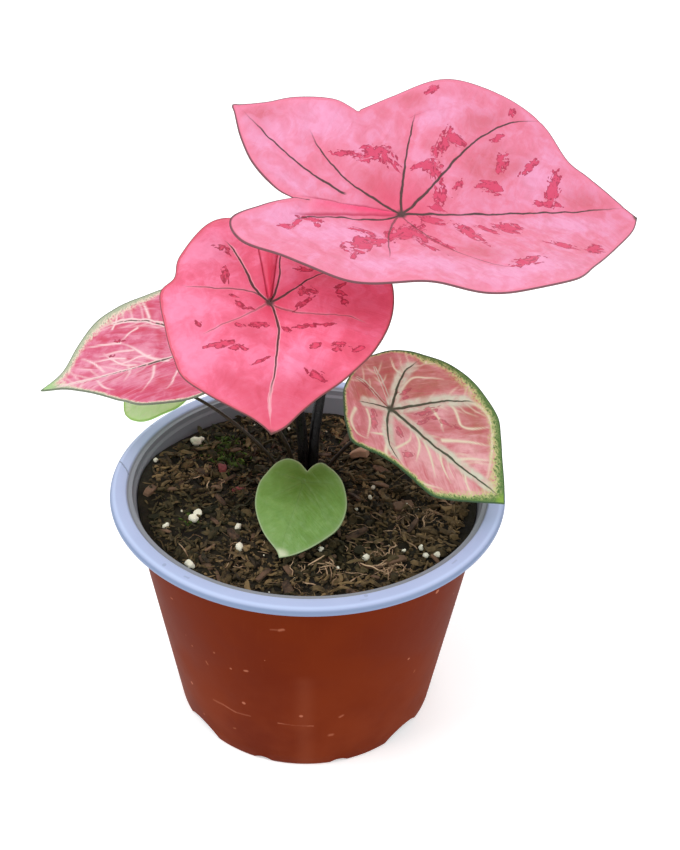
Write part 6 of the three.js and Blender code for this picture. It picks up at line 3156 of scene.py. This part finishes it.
    def fibre_piece(self) -> bpy.types.Object:
        """Coir fibres.

        Returns:
            The fibres, as one piece.
        """
        spots = self.scatter(self.fibres)
        models = [self.fibre_model(f"fibre_model_{index}", index + 2) for index in range(5)]
        return self.strew("coir_fibres", models, spots, COIR)

    def straw_piece(self) -> bpy.types.Object:
        """Stout pale strands that lie in loose heaps.

        Returns:
            The strands, as one piece.
        """
        spots = []
        for seed, (x, y, wide, count) in enumerate(self.straw):
            draw = random.Random(self.seed * 77 + seed)
            spots += [
                Spot(x + draw.gauss(0, wide * 0.5), y + draw.gauss(0, wide * 0.35),
                     draw.uniform(3.0, 9.0), draw.gauss(35, 55), draw.gauss(0, 16),
                     draw.uniform(0.4, 1.8), draw.uniform(0.0, 1.0),
                     (1.0, draw.uniform(0.9, 1.7), draw.uniform(1.0, 1.8)))
                for _ in range(count)]
        models = [self.fibre_model(f"strand_model_{index}", index + 12, 1.9)
                  for index in range(5)]
        return self.strew("straw_tangles", models, spots, STRAW)

    def perlite_piece(self) -> bpy.types.Object:
        """Perlite grains: those that stand out, and small ones between them.

        Returns:
            The grains, as one piece.
        """
        small = self.scatter(self.small_perlite)
        shown = [Spot(x, y, size, 40 * index, 10, size * 0.35 + 0.5, 0.8, (1.15, 0.9, 0.85))
                 for index, (x, y, size) in enumerate(self.perlite)]
        models = self.lump_models("grain", 3, 0.35, (0, 1.7), 14)
        return self.strew("perlite_grains", models, shown + small, PERLITE)

    def moss_piece(self) -> bpy.types.Object:
        """Low tufts of moss in a few patches.

        Returns:
            The tufts, as one piece.
        """
        draw = random.Random(self.seed + 90)
        spots = [
            Spot(x + draw.gauss(0, wide * 0.6), y + draw.gauss(0, wide * 0.5),
                 draw.uniform(0.9, 2.4), draw.uniform(0, 360), draw.gauss(0, 25),
                 draw.uniform(0.1, 0.7), draw.random(), (1.3, 0.5, 0.6))
            for x, y, count, wide in self.moss_patches for _ in range(count)]
        models = self.lump_models("moss", 3, 0.8, (2, 5.3))
        return self.strew("moss_tufts", models, spots, MOSS)

    def build(self) -> list[bpy.types.Object]:
        """Builds the bed and all that lies on it.

        Returns:
            The pieces.
        """
        return [
            self.bed(), self.crumb_piece(), self.shred_piece(), self.grit_piece(),
            self.chip_piece(), self.fibre_piece(), self.straw_piece(), self.perlite_piece(),
            self.moss_piece(),
            self.strew("tan_chip", [self.chip_model("tan_model", 21)], self.tan_chips, TAN_CHIP),
            self.strew("red_chip", [self.chip_model("red_model", 33)], self.red_chips, RED_CHIP)]


# ---------------------------------------------------------------- stage


@dataclass
class Stage:
    """The floor, the soft light and the camera.

    Attributes:
        floor_size: Side of the floor, in metres.
        floor_glow: How much light it gives of its own, so that it stays pale.
        eye: The camera's place, in metres.
        pitch: Its tilt from straight down, in degrees.
        roll: Its roll, in degrees.
        lens: Its focal length.
        sensor: Its picture's long side.
        sky: Strength of the light from all round.
        aim: What the lights face, in metres.
        lamps: Each light's name, place and side in metres, and power in watts.
    """

    floor_size: float = 12.0
    floor_glow: float = 0.36
    eye: Triple = (0.0114, -0.37719, 0.37002)
    pitch: float = 56.95
    roll: float = 1.68
    lens: float = 51.4
    sensor: float = 36.0
    sky: float = 0.58
    aim: Triple = (0, 0, 0.12)
    lamps: tuple[tuple[str, Triple, float, float], ...] = (
        ("key", (-0.8, -0.3, 1.15), 0.8, 9.2), ("fill", (0.95, -0.7, 0.9), 0.9, 6.2),
        ("back", (0.15, 1.1, 0.9), 0.9, 3.2))

    def build(self) -> None:
        """Builds the stage."""
        self._floor()
        self._sky()
        for lamp in self.lamps:
            self._lamp(*lamp)
        self._camera()

    def _floor(self) -> None:
        """A plain pale floor."""
        deselect()
        bpy.ops.mesh.primitive_plane_add(size=self.floor_size)
        floor = bpy.context.object
        floor.name = "studio_floor"
        material, _, shader = new_finish("pale_floor")
        for label, value in (("Base Color", rgb(252, 252, 252)), ("Roughness", 0.9),
                             ("Specular IOR Level", 0.1), ("Emission Color", WHITE),
                             ("Emission Strength", self.floor_glow)):
            shader.inputs[label].default_value = value
        floor.data.materials.append(material)

    def _sky(self) -> None:
        """An even white light from all round."""
        world = bpy.data.worlds.new("studio_light")
        world.use_nodes = True
        back = world.node_tree.nodes["Background"]
        back.inputs["Color"].default_value = WHITE
        back.inputs["Strength"].default_value = self.sky
        bpy.context.scene.world = world

    def _lamp(self, name: str, place: Triple, size: float, power: float) -> None:
        """A square soft light that faces the plant.

        Args:
            name: The light's name.
            place: Its place in metres.
            size: Its side in metres.
            power: Its power in watts.
        """
        light = bpy.data.lights.new(name, "AREA")
        light.size = size
        light.energy = power
        lamp = bpy.data.objects.new(name, light)
        lamp.location = place
        way = Vector(self.aim) - Vector(place)
        lamp.rotation_euler = way.to_track_quat("-Z", "Y").to_euler()
        bpy.context.scene.collection.objects.link(lamp)

    def _camera(self) -> None:
        """The camera."""
        lens = bpy.data.cameras.new("camera")
        lens.lens = self.lens
        lens.sensor_width = self.sensor
        lens.clip_start = 0.01
        camera = bpy.data.objects.new("camera", lens)
        turn = (Matrix.Rotation(math.radians(self.pitch), 3, "X")
                @ Matrix.Rotation(math.radians(self.roll), 3, "Z"))
        camera.location = self.eye
        camera.rotation_euler = turn.to_euler()
        bpy.context.scene.collection.objects.link(camera)
        bpy.context.scene.camera = camera
        bpy.context.scene.view_settings.view_transform = "Standard"


# ---------------------------------------------------------------- all of it


PLANT = ((TOP, PINK_TOP, NEAR_BLACK), (FRONT, HOT_PINK, NEAR_BLACK),
         (LEFT, CREAM_NETTED, OLIVE_BROWN), (RIGHT, GREEN_EDGED, DARK_BROWN),
         (YOUNG, PLAIN_GREEN, SOFT_GREEN), (REAR, PALE_GREEN, OLIVE_BROWN))

YOUNG_TIP = 40.0  # a leaf with a shorter midrib is a young one
YOUNG_RELIEF = {"groove": 0.12, "pillow": 0.3}  # its fields of Blade that differ
STOUT = 1.2  # thickness of the dark stalks against that of their solids
SLIM = 0.72  # thickness of the others against that of theirs

TUBER_SKIN = GrainFinish(rgb(70, 50, 34), rgb(104, 78, 54), rgb(140, 110, 80), 120.0, 0.8)


def main() -> None:
    """Builds every sub-assembly in order."""
    logging.basicConfig(level=logging.INFO, format="%(message)s")
    effects = Effects()
    Pot(effects).build()
    Soil(effects).build()
    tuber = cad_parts["tuber"]
    tuber.data.materials.clear()
    tuber.data.materials.append(TUBER_SKIN.build("tuber_skin", effects))
    for form, finish, stalk in PLANT:
        relief = YOUNG_RELIEF if form.tip < YOUNG_TIP else {}
        Blade(form, finish, **relief).build(effects)
        Stalk(form, stalk, slim=STOUT if stalk is NEAR_BLACK else SLIM).build(effects)
    Stage().build()


if __name__ == "__main__":
    main()
